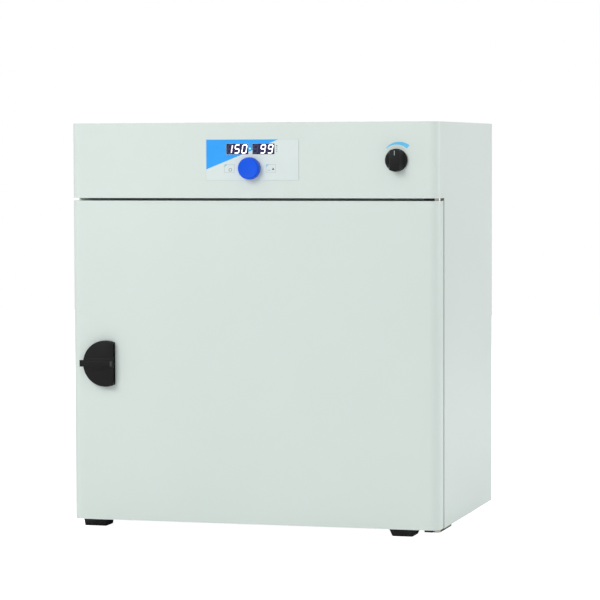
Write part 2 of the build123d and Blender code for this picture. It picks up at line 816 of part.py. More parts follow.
wool_front_y = frame_y + sheet
shell_half_width = chamber_width / 2 + steel_sheet
shell_floor_z = chamber_floor_z - steel_sheet
shell_roof_z = chamber_roof_z + steel_sheet
wool_blocks = {
    "insulation_left": (
        (-shell_half_width - side_wool, -shell_half_width),
        (shell_floor_z - bottom_wool, shell_roof_z + top_wool),
    ),
    "insulation_right": (
        (shell_half_width, shell_half_width + side_wool),
        (shell_floor_z - bottom_wool, shell_roof_z + top_wool),
    ),
    "insulation_top": ((-shell_half_width, shell_half_width), (shell_roof_z, shell_roof_z + top_wool)),
    "insulation_bottom": ((-shell_half_width, shell_half_width), (shell_floor_z - bottom_wool, shell_floor_z)),
}
for name, (x_range, z_range) in wool_blocks.items():
    with BuildPart() as wool:
        block(x_range, (wool_front_y, chamber_back_y), z_range)
        with BuildSketch(plan(shell_roof_z)):
            with Locations((flue_x, flue_y)):
                Circle(flue_radius + hole_gap)
        extrude(amount=top_wool, mode=Mode.SUBTRACT)
        with BuildSketch(upright(magnet_y + magnet_depth + slip_gap)):
            with Locations((pivot_x + magnet_length / 2, handle_z)):
                Rectangle(
                    magnet_length + 2 * (magnet_lip + slip_gap), magnet_height + 2 * (magnet_lip + slip_gap)
                )
        extrude(amount=magnet_depth, mode=Mode.SUBTRACT)
    wool.part.label = name
    export_step(wool.part, f"parts/{name}.step")

with BuildPart() as insulation_rear:
    block(
        (-shell_half_width - side_wool, shell_half_width + side_wool),
        (chamber_back_y, chamber_back_y + rear_wool),
        (shell_floor_z - bottom_wool, shell_roof_z + top_wool),
    )
    with BuildSketch(upright(chamber_back_y + rear_wool)):
        with Locations((0, chamber_z)):
            Circle(motor_hole_radius)
        with Locations(heater_legs):
            Circle(heater_collar_radius + slip_gap)
        with Locations((probe_x, probe_z)):
            Circle(probe_collar_radius + slip_gap)
        with Locations(motor_posts):
            Circle(motor_post_radius + slip_gap)
    extrude(amount=rear_wool, mode=Mode.SUBTRACT)
insulation_rear.part.label = "insulation_rear"
export_step(insulation_rear.part, "parts/insulation_rear.step")

# Racks and shelves

rail_front_y = seal_y + shelf_front_gap
rail_rear_y = baffle_y - shelf_rear_gap
post_y = (rail_front_y + rack_post_margin, rail_rear_y - rack_post_margin)
wall_x = chamber_width / 2
post_x = (wall_x - rack_stud - rack_sheet, wall_x - rack_stud)
ledge_z = [chamber_floor_z + rack_first_level + level * rack_pitch for level in range(rack_levels)]
post_z = (ledge_z[0] - rack_post_width, ledge_z[-1] + rack_post_width)
with BuildPart() as shelf_rack_right:
    for y in post_y:
        block(post_x, (y - rack_post_width / 2, y + rack_post_width / 2), post_z)
        with BuildSketch(Plane.YZ.offset(post_x[1])):
            with Locations([(y, z) for z in (post_z[0] + rack_stud_radius, post_z[1] - rack_stud_radius)]):
                Circle(rack_stud_radius)
        extrude(amount=rack_stud)
    for z in ledge_z:
        block((post_x[0] - rack_sheet, post_x[0]), (rail_front_y, rail_rear_y), (z - rack_sheet, z + rack_web))
        block((post_x[0] - rack_ledge, post_x[0]), (rail_front_y, rail_rear_y), (z - rack_sheet, z))
shelf_rack_right.part.label = "shelf_rack_right"
export_step(shelf_rack_right.part, "parts/shelf_rack_right.step")

with BuildPart() as shelf_rack_left:
    mirror(shelf_rack_right.part, about=Plane.YZ)
shelf_rack_left.part.label = "shelf_rack_left"
export_step(shelf_rack_left.part, "parts/shelf_rack_left.step")

shelf_half_width = post_x[0] - rack_sheet - shelf_side_gap
shelf_front_y = rail_front_y
shelf_rear_y = rail_rear_y
shelf_length = shelf_rear_y - shelf_front_y
shelf_centre_y = (shelf_front_y + shelf_rear_y) / 2
rim_half_width = shelf_half_width - shelf_rim_radius
rim_half_length = shelf_length / 2 - shelf_rim_radius
wire_count = int(2 * (rim_half_width - shelf_corner) / shelf_wire_pitch) + 1
for name, level in (("shelf_lower", lower_shelf_level), ("shelf_upper", upper_shelf_level)):
    rim_z = ledge_z[level] + loose_gap + shelf_rim_radius
    with BuildPart() as shelf:
        with BuildLine(plan(rim_z)) as rim:
            FilletPolyline(
                (-rim_half_width, shelf_centre_y - rim_half_length),
                (rim_half_width, shelf_centre_y - rim_half_length),
                (rim_half_width, shelf_centre_y + rim_half_length),
                (-rim_half_width, shelf_centre_y + rim_half_length),
                radius=shelf_corner,
                close=True,
            )
        with BuildSketch(Plane(origin=rim.line @ 0, z_dir=rim.line % 0)):
            Circle(shelf_rim_radius)
        sweep(path=rim.line)
        with BuildSketch(upright(shelf_centre_y + rim_half_length)):
            with Locations((0, rim_z)):
                with GridLocations(shelf_wire_pitch, 1, wire_count, 1):
                    Circle(shelf_wire_radius)
        extrude(amount=2 * rim_half_length)
        brace_z = rim_z - shelf_rim_radius + shelf_brace_radius
        with BuildSketch(Plane.YZ.offset(-rim_half_width)):
            with Locations((shelf_centre_y, brace_z)):
                with GridLocations(2 * rim_half_length / (shelf_braces + 1), 1, shelf_braces, 1):
                    Circle(shelf_brace_radius)
        extrude(amount=2 * rim_half_width)
    shelf.part.label = name
    export_step(shelf.part, f"parts/{name}.step")

# Fan, motor, heater and sensor

fan_back_y = baffle_y + steel_sheet + fan_front_gap + fan_depth
with BuildSketch() as fan_blade:
    tip_angle = radians(fan_blade_sweep)
    root = Vector(fan_blade_inner, 0)
    tip = Vector(fan_radius * cos(tip_angle), fan_radius * sin(tip_angle))
    bulge = (tip - root).rotate(Axis.Z, -90) * fan_blade_bulge
    with BuildLine():
        ThreePointArc(root, (root + tip) * 0.5 + bulge, tip)
        offset(amount=fan_plate, side=Side.LEFT)
    make_face()
with BuildPart() as fan_impeller:
    with BuildSketch(upright(fan_back_y)):
        with Locations((0, chamber_z)):
            Circle(fan_radius)
            Circle(shaft_radius, mode=Mode.SUBTRACT)
    extrude(amount=fan_plate)
    with BuildSketch(upright(fan_back_y)):
        with Locations((0, chamber_z)):
            Circle(fan_hub_radius)
            Circle(shaft_radius, mode=Mode.SUBTRACT)
    extrude(amount=fan_depth / 2)
    with BuildSketch(upright(fan_back_y)):
        with Locations((0, chamber_z)):
            with PolarLocations(0, fan_blade_count):
                add(fan_blade.sketch)
    extrude(amount=fan_depth)
    with BuildSketch(upright(fan_back_y - fan_depth + fan_plate)):
        with Locations((0, chamber_z)):
            Circle(fan_radius)
            Circle(fan_eye_radius, mode=Mode.SUBTRACT)
    extrude(amount=fan_plate)
fan_impeller.part.label = "fan_impeller"
export_step(fan_impeller.part, "parts/fan_impeller.step")

motor_front_y = chamber_back_y + rear_wool + motor_bell_depth
motor_back_y = motor_front_y + motor_stack_depth
rotor_end_y = motor_back_y + motor_bell_depth
with BuildPart() as fan_shaft:
    with BuildSketch(upright(rotor_end_y)):
        with Locations((0, chamber_z)):
            Circle(shaft_radius)
    extrude(amount=rotor_end_y - fan_back_y + fan_depth / 2)
    with BuildSketch(upright(motor_back_y)):
        with Locations((0, chamber_z)):
            Circle(motor_rotor_radius)
    extrude(amount=motor_stack_depth)
fan_shaft.part.label = "fan_shaft"
export_step(fan_shaft.part, "parts/fan_shaft.step")

with BuildPart() as fan_motor:
    with BuildSketch(upright(motor_back_y)):
        with Locations((0, chamber_z)):
            RectangleRounded(motor_stack, motor_stack, motor_stack_radius)
    extrude(amount=motor_stack_depth)
    with BuildSketch(upright(motor_back_y + motor_bell_depth)):
        with Locations((0, chamber_z)):
            Circle(motor_bell_radius)
    extrude(amount=motor_stack_depth + 2 * motor_bell_depth)
    coil_z = chamber_z - motor_stack / 2
    block(
        (-motor_coil_width / 2, motor_coil_width / 2),
        (motor_front_y - motor_bell_depth / 2, motor_back_y + motor_bell_depth / 2),
        (coil_z - motor_coil_height / 2, coil_z + motor_coil_height / 2),
    )
    with BuildSketch(upright(motor_back_y + motor_bell_depth - motor_bell_wall)):
        with Locations((0, chamber_z)):
            Circle(motor_rotor_radius + motor_air_gap)
    extrude(amount=motor_stack_depth + 2 * (motor_bell_depth - motor_bell_wall), mode=Mode.SUBTRACT)
    for bearing_y in (motor_front_y, motor_back_y + motor_bell_depth):
        with BuildSketch(upright(bearing_y)):
            with Locations((0, chamber_z)):
                Circle(motor_bearing_radius)
        extrude(amount=motor_bell_depth)
    with BuildSketch(upright(motor_front_y)):
        with Locations(motor_posts):
            Circle(motor_post_radius)
    extrude(amount=motor_front_y - chamber_back_y)
    with BuildSketch(upright(rotor_end_y)):
        with Locations((0, chamber_z)):
            Circle(shaft_radius + running_gap)
    extrude(amount=rotor_end_y - chamber_back_y, mode=Mode.SUBTRACT)
    with BuildSketch(upright(motor_back_y + loose_gap)):
        with Locations((0, chamber_z)):
            Circle(motor_rotor_radius + motor_air_gap)
    extrude(amount=motor_stack_depth + 2 * loose_gap, mode=Mode.SUBTRACT)
fan_motor.part.label = "fan_motor"
export_step(fan_motor.part, "parts/fan_motor.step")

heater_y = (baffle_y + chamber_rear_y) / 2
heater_centre = Vector(0, heater_y, chamber_z)
towards_rear = Vector(0, 1, 0)
with BuildPart() as heater_element:
    with BuildLine() as heater_line:
        ends = []
        for side in (-1, 1):
            ring_end = heater_centre + Vector(side * sin(heater_half_gap), 0, -cos(heater_half_gap)) * heater_ring_radius
            along_ring = Vector(-side * cos(heater_half_gap), 0, -sin(heater_half_gap))
            bend_end = ring_end + (along_ring + towards_rear) * heater_bend
            bend_middle = ring_end + (along_ring * sin(radians(45)) + towards_rear * (1 - cos(radians(45)))) * heater_bend
            leg_end = Vector(bend_end.X, chamber_back_y + heater_leg_reach, bend_end.Z)
            Line(leg_end, bend_end)
            ThreePointArc(bend_end, bend_middle, ring_end)
            ends.append(ring_end)
        ThreePointArc(ends[0], heater_centre + Vector(0, 0, heater_ring_radius), ends[1])
    with BuildSketch(upright(chamber_back_y + heater_leg_reach)):
        with Locations(heater_legs[0]):
            Circle(heater_tube_radius)
    sweep(path=heater_line.wires()[0])
    with BuildSketch(upright(chamber_back_y + heater_collar)):
        with Locations(heater_legs):
            Circle(heater_collar_radius)
    extrude(amount=heater_collar)
heater_element.part.label = "heater_element"
export_step(heater_element.part, "parts/heater_element.step")

with BuildPart() as temperature_probe:
    with BuildSketch(upright(chamber_back_y + probe_tail)):
        with Locations((probe_x, probe_z)):
            Circle(probe_radius)
    extrude(amount=chamber_back_y + probe_tail - baffle_y + probe_reach)
    fillet(temperature_probe.edges().group_by(Axis.Y)[0], probe_radius / 2)
    with BuildSketch(upright(chamber_back_y + probe_collar)):
        with Locations((probe_x, probe_z)):
            Circle(probe_collar_radius)
    extrude(amount=probe_collar)
temperature_probe.part.label = "temperature_probe"
export_step(temperature_probe.part, "parts/temperature_probe.step")

# Electronics bay

with BuildPart() as electronics_tray:
    tray_half = half_width - sheet
    with BuildSketch(plan(tray_z)) as tray_plan:
        with Locations((0, (frame_y + frame_fold + bay_rear_y) / 2)):
            Rectangle(2 * tray_half, bay_rear_y - frame_y - frame_fold)
        fillet(tray_plan.vertices().group_by(Axis.Y)[-1], rear_edge_radius - sheet)
    extrude(amount=sheet)
    for side in (-1, 1):
        x_range = sorted((side * (tray_half - sheet), side * tray_half))
        block(x_range, (frame_y + frame_fold, bay_rear_y - rear_edge_radius), (tray_z, tray_z + tray_fold))
    with BuildSketch(plan(tray_z)):
        with Locations((flue_x, flue_y)):
            Circle(flue_radius + hole_gap)
    extrude(amount=sheet, mode=Mode.SUBTRACT)
electronics_tray.part.label = "electronics_tray"
export_step(electronics_tray.part, "parts/electronics_tray.step")

tray_top_z = tray_z + sheet
power_board_y = bay_rear_y - power_board_from_rear
with BuildPart() as power_board:
    board_top_z = tray_top_z + standoff_height + board_sheet
    board_right_x = power_board_x + power_board_length / 2 - transformer_inset
    with BuildSketch(plan(tray_top_z + standoff_height)):
        with Locations((power_board_x, power_board_y)):
            RectangleRounded(power_board_length, power_board_width, panel_corner)
    extrude(amount=board_sheet)
    with BuildSketch(plan(tray_top_z)):
        with Locations((power_board_x, power_board_y)):
            with GridLocations(
                power_board_length - 2 * standoff_margin, power_board_width - 2 * standoff_margin, 2, 2
            ):
                Circle(standoff_radius)
    extrude(amount=standoff_height)
    with BuildSketch(plan(board_top_z)):
        with Locations((power_board_x - power_board_length / 2 + transformer_inset, power_board_y)):
            Rectangle(transformer_size[0], transformer_size[1])
    extrude(amount=transformer_size[2])
    with BuildSketch(plan(board_top_z)):
        with Locations((board_right_x, power_board_y - power_board_width / 2 + terminal_inset)):
            Rectangle(terminal_size[0], terminal_size[1])
    extrude(amount=terminal_size[2])
    with BuildSketch(plan(board_top_z)):
        with Locations((board_right_x, power_board_y + power_board_width / 2 - capacitor_inset)):
            with GridLocations(capacitor_pitch, 1, 2, 1):
                Circle(capacitor_radius)
    extrude(amount=capacitor_height)
power_board.part.label = "power_board"
export_step(power_board.part, "parts/power_board.step")

with BuildPart() as heater_relay:
    relay_base_z = tray_top_z + heatsink_base
    with BuildSketch(plan(tray_top_z)):
        with Locations((relay_x, power_board_y)):
            Rectangle(relay_width + heatsink_gap + heatsink_width, relay_length)
    extrude(amount=heatsink_base)
    with BuildSketch(plan(relay_base_z)):
        with Locations((relay_x + (heatsink_width + heatsink_gap) / 2, power_board_y)):
            Rectangle(relay_width, relay_length)
    extrude(amount=relay_height)
    with BuildSketch(plan(relay_base_z)):
        with Locations((relay_x - (relay_width + heatsink_gap) / 2, power_board_y)):
            with GridLocations((heatsink_width - heatsink_fin) / (heatsink_fins - 1), 1, heatsink_fins, 1):
                Rectangle(heatsink_fin, relay_length)
    extrude(amount=heatsink_fin_height)
heater_relay.part.label = "heater_relay"
export_step(heater_relay.part, "parts/heater_relay.step")

# Exhaust: flue, duct, pipe, and the damper that its knob turns

port_starts = (-port_angle / 2, 180 - port_angle / 2)
duct_left_x = damper_x - duct_left_of_rod
duct_x = (duct_left_x, duct_left_x + duct_width)
duct_y = (flue_y - flue_from_duct_corner, bay_rear_y)
duct_z = (damper_axis_z - duct_height / 2, damper_axis_z + duct_height / 2)
with BuildPart() as exhaust_duct:
    block(duct_x, duct_y, duct_z)
    with BuildSketch(plan(shell_roof_z)):
        with Locations((flue_x, flue_y)):
            Circle(flue_radius)
    extrude(amount=duct_z[0] - shell_roof_z)
    block(
        [duct_x[0] + steel_sheet, duct_x[1] - steel_sheet],
        [duct_y[0] + steel_sheet, duct_y[1] - steel_sheet],
        [duct_z[0] + steel_sheet, duct_z[1] - steel_sheet],
        mode=Mode.SUBTRACT,
    )
    with BuildSketch(plan(shell_roof_z)):
        with Locations((flue_x, flue_y)):
            Circle(flue_radius - steel_sheet)
    extrude(amount=duct_z[0] + steel_sheet - shell_roof_z, mode=Mode.SUBTRACT)
    with BuildSketch(upright(duct_y[0] + steel_sheet)):
        with Locations((damper_x, damper_axis_z)):
            Circle(damper_rod_radius + running_gap)
    extrude(amount=steel_sheet, mode=Mode.SUBTRACT)
    with BuildSketch(upright(duct_y[1])):
        with Locations((damper_x, damper_axis_z)):
            Circle(damper_rod_radius + running_gap)
        for start in port_starts:
            port_outline(start)
    extrude(amount=steel_sheet, mode=Mode.SUBTRACT)
exhaust_duct.part.label = "exhaust_duct"
export_step(exhaust_duct.part, "parts/exhaust_duct.step")

with BuildPart() as exhaust_pipe:
    with BuildSketch(upright(rear_panel_y + pipe_flange)):
        with Locations((damper_x, damper_axis_z)):
            Circle(pipe_flange_radius)
            Circle(pipe_radius, mode=Mode.SUBTRACT)
    extrude(amount=pipe_flange)
    with BuildSketch(upright(rear_y + pipe_reach)):
        with Locations((damper_x, damper_axis_z)):
            Circle(pipe_radius)
            Circle(pipe_radius - pipe_wall, mode=Mode.SUBTRACT)
    extrude(amount=rear_y + pipe_reach - bay_rear_y)
exhaust_pipe.part.label = "exhaust_pipe"
export_step(exhaust_pipe.part, "parts/exhaust_pipe.step")

disc_back_y = duct_y[1] - steel_sheet - loose_gap
with BuildPart() as damper_disc:
    with BuildSketch(upright(disc_back_y)):
        with Locations((damper_x, damper_axis_z)):
            Circle(port_radius + damper_disc_margin)
            Circle(damper_rod_radius, mode=Mode.SUBTRACT)
        for start in port_starts:
            port_outline(start + damper_travel, Mode.SUBTRACT)
    extrude(amount=damper_disc_sheet)
    with BuildSketch(upright(disc_back_y - damper_disc_sheet)):
        with Locations((damper_x, damper_axis_z)):
            Circle(port_inner_radius)
            Circle(damper_rod_radius, mode=Mode.SUBTRACT)
    extrude(amount=port_inner_radius)
damper_disc.part.label = "damper_disc"
export_step(damper_disc.part, "parts/damper_disc.step")

damper_knob_back_y = front_y - damper_bush_flange - loose_gap
damper_knob_face_y = front_y - damper_knob_stand
damper_rod_end_y = (damper_knob_back_y + damper_knob_face_y) / 2
with BuildPart() as damper_rod:
    with BuildSketch(upright(disc_back_y)):
        with Locations((damper_x, damper_axis_z)):
            Circle(damper_rod_radius)
    extrude(amount=disc_back_y - damper_rod_end_y)
damper_rod.part.label = "damper_rod"
export_step(damper_rod.part, "parts/damper_rod.step")

with BuildPart() as damper_bush:
    with BuildSketch(upright(front_y)):
        with Locations((damper_x, damper_axis_z)):
            Circle(damper_bush_flange_radius)
    extrude(amount=damper_bush_flange)
    with BuildSketch(upright(front_y + damper_bush_length)):
        with Locations((damper_x, damper_axis_z)):
            Circle(damper_bush_radius)
    extrude(amount=damper_bush_length)
    with BuildSketch(upright(front_y + damper_bush_length)):
        with Locations((damper_x, damper_axis_z)):
            Circle(damper_rod_radius + running_gap)
    extrude(amount=damper_bush_length + damper_bush_flange, mode=Mode.SUBTRACT)
damper_bush.part.label = "damper_bush"
export_step(damper_bush.part, "parts/damper_bush.step")

with BuildPart() as damper_knob:
    with BuildSketch(upright(damper_knob_back_y)):
        with Locations((damper_x, damper_axis_z)):
            Circle(damper_knob_radius)
    extrude(amount=damper_knob_back_y - damper_knob_face_y, taper=damper_knob_taper)
    fillet(damper_knob.edges().group_by(Axis.Y)[0], damper_knob_edge)
    scoop_back_y = damper_knob_back_y - damper_knob_skirt
    with BuildSketch(upright(scoop_back_y)):
        for side in (-1, 1):
            with Locations((damper_x + side * (damper_grip_width / 2 + damper_grip_scoop), damper_axis_z)):
                Circle(damper_grip_scoop)
    extrude(amount=damper_knob_stand, mode=Mode.SUBTRACT)
    with BuildSketch(upright(damper_knob_back_y)):
        with Locations((damper_x, damper_axis_z)):
            Circle(damper_rod_radius)
    extrude(amount=damper_knob_back_y - damper_rod_end_y, mode=Mode.SUBTRACT)
damper_knob.part.label = "damper_knob"
export_step(damper_knob.part, "parts/damper_knob.step")

# Door

skin_back_y = door_back_y - steel_sheet
with BuildPart() as door_skin:
    with BuildSketch(plan(door_bottom_z)):
        rounded_front(case_width, front_y, skin_back_y, front_edge_radius)
    extrude(amount=door_height)
    with BuildSketch(plan(door_bottom_z + sheet)):
        rounded_front(case_width - 2 * sheet, front_y + sheet, skin_back_y - sheet, front_edge_radius - sheet)
    extrude(amount=door_height - 2 * sheet, mode=Mode.SUBTRACT)
    with BuildSketch(upright(skin_back_y)):
        with Locations((0, door_z)):
            Rectangle(case_width - 2 * door_lip, door_height - 2 * door_lip)
    extrude(amount=sheet, mode=Mode.SUBTRACT)
    with BuildSketch(plan(door_bottom_z)):
        with Locations((hinge_x, hinge_y)):
            Circle(bush_radius + hole_gap)
    extrude(amount=door_height, mode=Mode.SUBTRACT)
    with BuildSketch(upright(front_y + sheet)):
        cup_outline(cup_wall + hole_gap)
    extrude(amount=sheet, mode=Mode.SUBTRACT)
door_skin.part.label = "door_skin"
export_step(door_skin.part, "parts/door_skin.step")

inner_half_width = half_width - inner_panel_margin
inner_half_height = door_height / 2 - inner_panel_margin
pressing_width = chamber_width - 2 * pressing_inset
pressing_height = chamber_height - 2 * pressing_inset
with BuildPart() as door_inner_panel:
    with BuildSketch(upright(door_back_y)):
        with Locations((0, door_z)):
            Rectangle(2 * inner_half_width, 2 * inner_half_height)
    extrude(amount=steel_sheet)
    for rise, mode in ((0, Mode.ADD), (steel_sheet, Mode.SUBTRACT)):
        with BuildSketch(upright(door_back_y - rise)):
            with Locations((0, chamber_z)):
                RectangleRounded(pressing_width, pressing_height, pressing_radius)
        extrude(amount=-pressing_rise, taper=pressing_slope, mode=mode)
    with BuildSketch(upright(door_back_y)):
        with Locations((well_x, handle_z)):
            Rectangle(well_length, well_height)
    extrude(amount=steel_sheet, mode=Mode.SUBTRACT)
door_inner_panel.part.label = "door_inner_panel"
export_step(door_inner_panel.part, "parts/door_inner_panel.step")

with BuildPart() as door_wool:
    block(
        (-half_width + front_edge_radius, half_width - bush_flange_length - hinge_from_side),
        (front_y + sheet, skin_back_y - sheet - door_wool_gap),
        (door_bottom_z + sheet + door_wool_gap, door_top_z - sheet - door_wool_gap),
    )
    with BuildSketch(upright(skin_back_y)):
        cup_outline(cup_wall + slip_gap)
    extrude(amount=door_depth, mode=Mode.SUBTRACT)
door_wool.part.label = "door_wool"
export_step(door_wool.part, "parts/door_wool.step")

seal_inner_width = chamber_width + 2 * seal_inset
seal_inner_height = chamber_height + 2 * seal_inset
with BuildPart() as door_seal:
    with BuildSketch(upright(seal_y - loose_gap)):
        with Locations((0, chamber_z)):
            RectangleRounded(
                seal_inner_width + 2 * seal_width, seal_inner_height + 2 * seal_width, chamber_radius + seal_width
            )
            RectangleRounded(seal_inner_width, seal_inner_height, chamber_radius, mode=Mode.SUBTRACT)
    extrude(amount=seal_gap - loose_gap)
    fillet(door_seal.edges().group_by(Axis.Y)[-1], seal_lip)
door_seal.part.label = "door_seal"
export_step(door_seal.part, "parts/door_seal.step")

# Hinges: a plate, a pin and a bush at each corner of the hinge side

bracket_front_y = hinge_y - hinge_boss_radius
hinge_corners = (
    ("hinge_bracket_bottom", base_z - hinge_plate, frame_y + hinge_plate_tail),
    ("hinge_bracket_top", fascia_z - hinge_plate, frame_y),
)
for name, plate_z, bracket_rear_y in hinge_corners:
    with BuildPart() as bracket:
        with BuildSketch(plan(plate_z)):
            with Locations((half_width - hinge_plate_margin, bracket_front_y)):
                Rectangle(hinge_plate_width, bracket_rear_y - bracket_front_y, align=(Align.MAX, Align.MIN))
            with Locations((hinge_x, hinge_y)):
                Circle(hinge_boss_radius, mode=Mode.SUBTRACT)
                Rectangle(
                    2 * hinge_boss_radius, hinge_boss_radius, align=(Align.CENTER, Align.MAX), mode=Mode.SUBTRACT
                )
        extrude(amount=hinge_plate)
    bracket.part.label = name
    export_step(bracket.part, f"parts/{name}.step")

with BuildPart() as hinge_pins:
    for start_z, up in ((base_z - hinge_plate, 1), (fascia_z, -1)):
        for radius, reach in (
            (hinge_boss_radius, hinge_plate),
            (bush_radius, hinge_plate + hinge_collar),
            (hinge_pin_radius, hinge_plate + hinge_collar + hinge_pin_reach),
        ):
            with BuildSketch(plan(start_z)):
                with Locations((hinge_x, hinge_y)):
                    Circle(radius)
            extrude(amount=up * reach)
hinge_pins.part.label = "hinge_pins"
export_step(hinge_pins.part, "parts/hinge_pins.step")

with BuildPart() as hinge_bushes:
    for face_z, up in ((door_bottom_z, 1), (door_top_z, -1)):
        with BuildSketch(plan(face_z)):
            with Locations((hinge_x, hinge_y)):
                Circle(bush_radius)
        extrude(amount=up * bush_length)
        with BuildSketch(plan(face_z + up * sheet)):
            with Locations((hinge_x + bush_flange_overhang, hinge_y)):
                Rectangle(bush_flange_length, bush_flange_width, align=(Align.MAX, Align.CENTER))
        extrude(amount=up * bush_flange)
        with BuildSketch(plan(face_z)):
            with Locations((hinge_x, hinge_y)):
                Circle(hinge_pin_radius + running_gap)
        extrude(amount=up * bush_length, mode=Mode.SUBTRACT)
hinge_bushes.part.label = "hinge_bushes"
export_step(hinge_bushes.part, "parts/hinge_bushes.step")

# Handle: a cup in the door, and a paddle whose arm holds a plate on the magnet

lug_z = well_height / 2
with BuildPart() as handle_cup:
    with BuildSketch(upright(front_y)):
        handle_outline(handle_radius - cup_flange_margin, handle_chord)
    extrude(amount=cup_flange)
    with BuildSketch(upright(front_y + cup_depth + cup_wall)):
        with Locations((pocket_x, handle_z)):
            Rectangle(pocket_length + 2 * cup_wall, cup_height + 2 * cup_wall)
    extrude(amount=cup_depth + cup_wall)
    with BuildSketch(upright(skin_back_y)):
        with Locations((well_x, handle_z)):
            Rectangle(well_length + 2 * cup_wall, well_height + 2 * cup_wall)
    extrude(amount=skin_back_y - front_y)
    with BuildSketch(upright(front_y + cup_depth)):
        with Locations((pocket_x, handle_z)):
            Rectangle(pocket_length, cup_height)
    extrude(amount=cup_depth + cup_flange, mode=Mode.SUBTRACT)
    with BuildSketch(upright(skin_back_y)):
        with Locations((well_x, handle_z)):
            Rectangle(well_length, well_height)
    extrude(amount=skin_back_y - front_y + cup_flange, mode=Mode.SUBTRACT)
    for side in (-1, 1):
        with BuildSketch(plan(handle_z + side * lug_z)):
            with Locations((pivot_x, pivot_y)):
                Circle(pivot_radius)
                Rectangle(2 * pivot_radius, pivot_stand, align=(Align.CENTER, Align.MIN))
        extrude(amount=side * pivot_lug)
    with BuildSketch(plan(handle_z - lug_z - pivot_lug)):
        with Locations((pivot_x, pivot_y)):
            Circle(pivot_pin_radius + hole_gap)
    extrude(amount=2 * (lug_z + pivot_lug), mode=Mode.SUBTRACT)
handle_cup.part.label = "handle_cup"
export_step(handle_cup.part, "parts/handle_cup.step")

with BuildPart() as handle_pin:
    with BuildSketch(plan(handle_z - lug_z - pivot_lug)):
        with Locations((pivot_x, pivot_y)):
            Circle(pivot_pin_radius)
    extrude(amount=2 * (lug_z + pivot_lug))
handle_pin.part.label = "handle_pin"
export_step(handle_pin.part, "parts/handle_pin.step")

paddle_face_y = front_y - handle_stand
paddle_rim_y = paddle_face_y + handle_skirt
paddle_under_y = paddle_face_y + handle_wall
chord_x = handle_x + handle_chord
with BuildPart() as handle_paddle:
    with BuildSketch(upright(paddle_rim_y)):
        handle_outline(handle_radius, handle_chord)
    extrude(amount=handle_skirt)
    fillet(handle_paddle.edges().filter_by(Axis.Y), handle_corner)
    fillet(handle_paddle.edges().group_by(Axis.Y)[0], handle_edge)
    with BuildSketch(upright(paddle_rim_y)):
        handle_outline(handle_radius - handle_wall, handle_chord)
    extrude(amount=handle_skirt - handle_wall, mode=Mode.SUBTRACT)
    block(
        (handle_x - handle_radius + handle_wall, chord_x),
        (paddle_face_y - handle_rib_rise, paddle_under_y),
        (handle_z - handle_rib_height / 2, handle_z + handle_rib_height / 2),
    )
    block(
        (handle_x - handle_radius - tab_reach, chord_x),
        (paddle_face_y - handle_bar_rise, paddle_face_y + tab_thickness),
        (handle_z - handle_bar_height / 2, handle_z + handle_bar_height / 2),
    )
    knuckle_z = lug_z - loose_gap
    with BuildSketch(plan(handle_z - knuckle_z)):
        with Locations((pivot_x, pivot_y)):
            Circle(pivot_radius)
            Rectangle(2 * pivot_radius, pivot_y - paddle_under_y, align=(Align.CENTER, Align.MAX))
    extrude(amount=2 * knuckle_z)
    block(
        (pivot_x - arm_width / 2, pivot_x + arm_width / 2),
        (pivot_y, armature_y - armature_thickness),
        (handle_z - armature_height / 2, handle_z + armature_height / 2),
    )
    block(
        (pivot_x - arm_width / 2, pivot_x + armature_length),
        (armature_y - armature_thickness - arm_foot, armature_y - armature_thickness),
        (handle_z - armature_height / 2, handle_z + armature_height / 2),
    )
    with BuildSketch(plan(handle_z - knuckle_z)):
        with Locations((pivot_x, pivot_y)):
            Circle(pivot_pin_radius + running_gap)
    extrude(amount=2 * knuckle_z, mode=Mode.SUBTRACT)
handle_paddle.part.label = "handle_paddle"
export_step(handle_paddle.part, "parts/handle_paddle.step")

with BuildPart() as latch_armature:
    block(
        (pivot_x, pivot_x + armature_length),
        (armature_y - armature_thickness, armature_y),
        (handle_z - armature_height / 2, handle_z + armature_height / 2),
    )
latch_armature.part.label = "latch_armature"
export_step(latch_armature.part, "parts/latch_armature.step")

with BuildPart() as latch_magnet:
    magnet_x = (pivot_x, pivot_x + magnet_length)
    magnet_z = (handle_z - magnet_height / 2, handle_z + magnet_height / 2)
    block(magnet_x, (magnet_y, magnet_y + magnet_depth), magnet_z)
    block(
        [magnet_x[0] - magnet_lip, magnet_x[1] + magnet_lip],
        (frame_y + sheet, frame_y + sheet + magnet_lip_thickness),
        [magnet_z[0] - magnet_lip, magnet_z[1] + magnet_lip],
    )
    block(
        magnet_x,
        (magnet_y, magnet_y + magnet_groove_depth),
        (handle_z - magnet_groove / 2, handle_z + magnet_groove / 2),
        mode=Mode.SUBTRACT,
    )
latch_magnet.part.label = "latch_magnet"
export_step(latch_magnet.part, "parts/latch_magnet.step")

# Mains inlet and switch

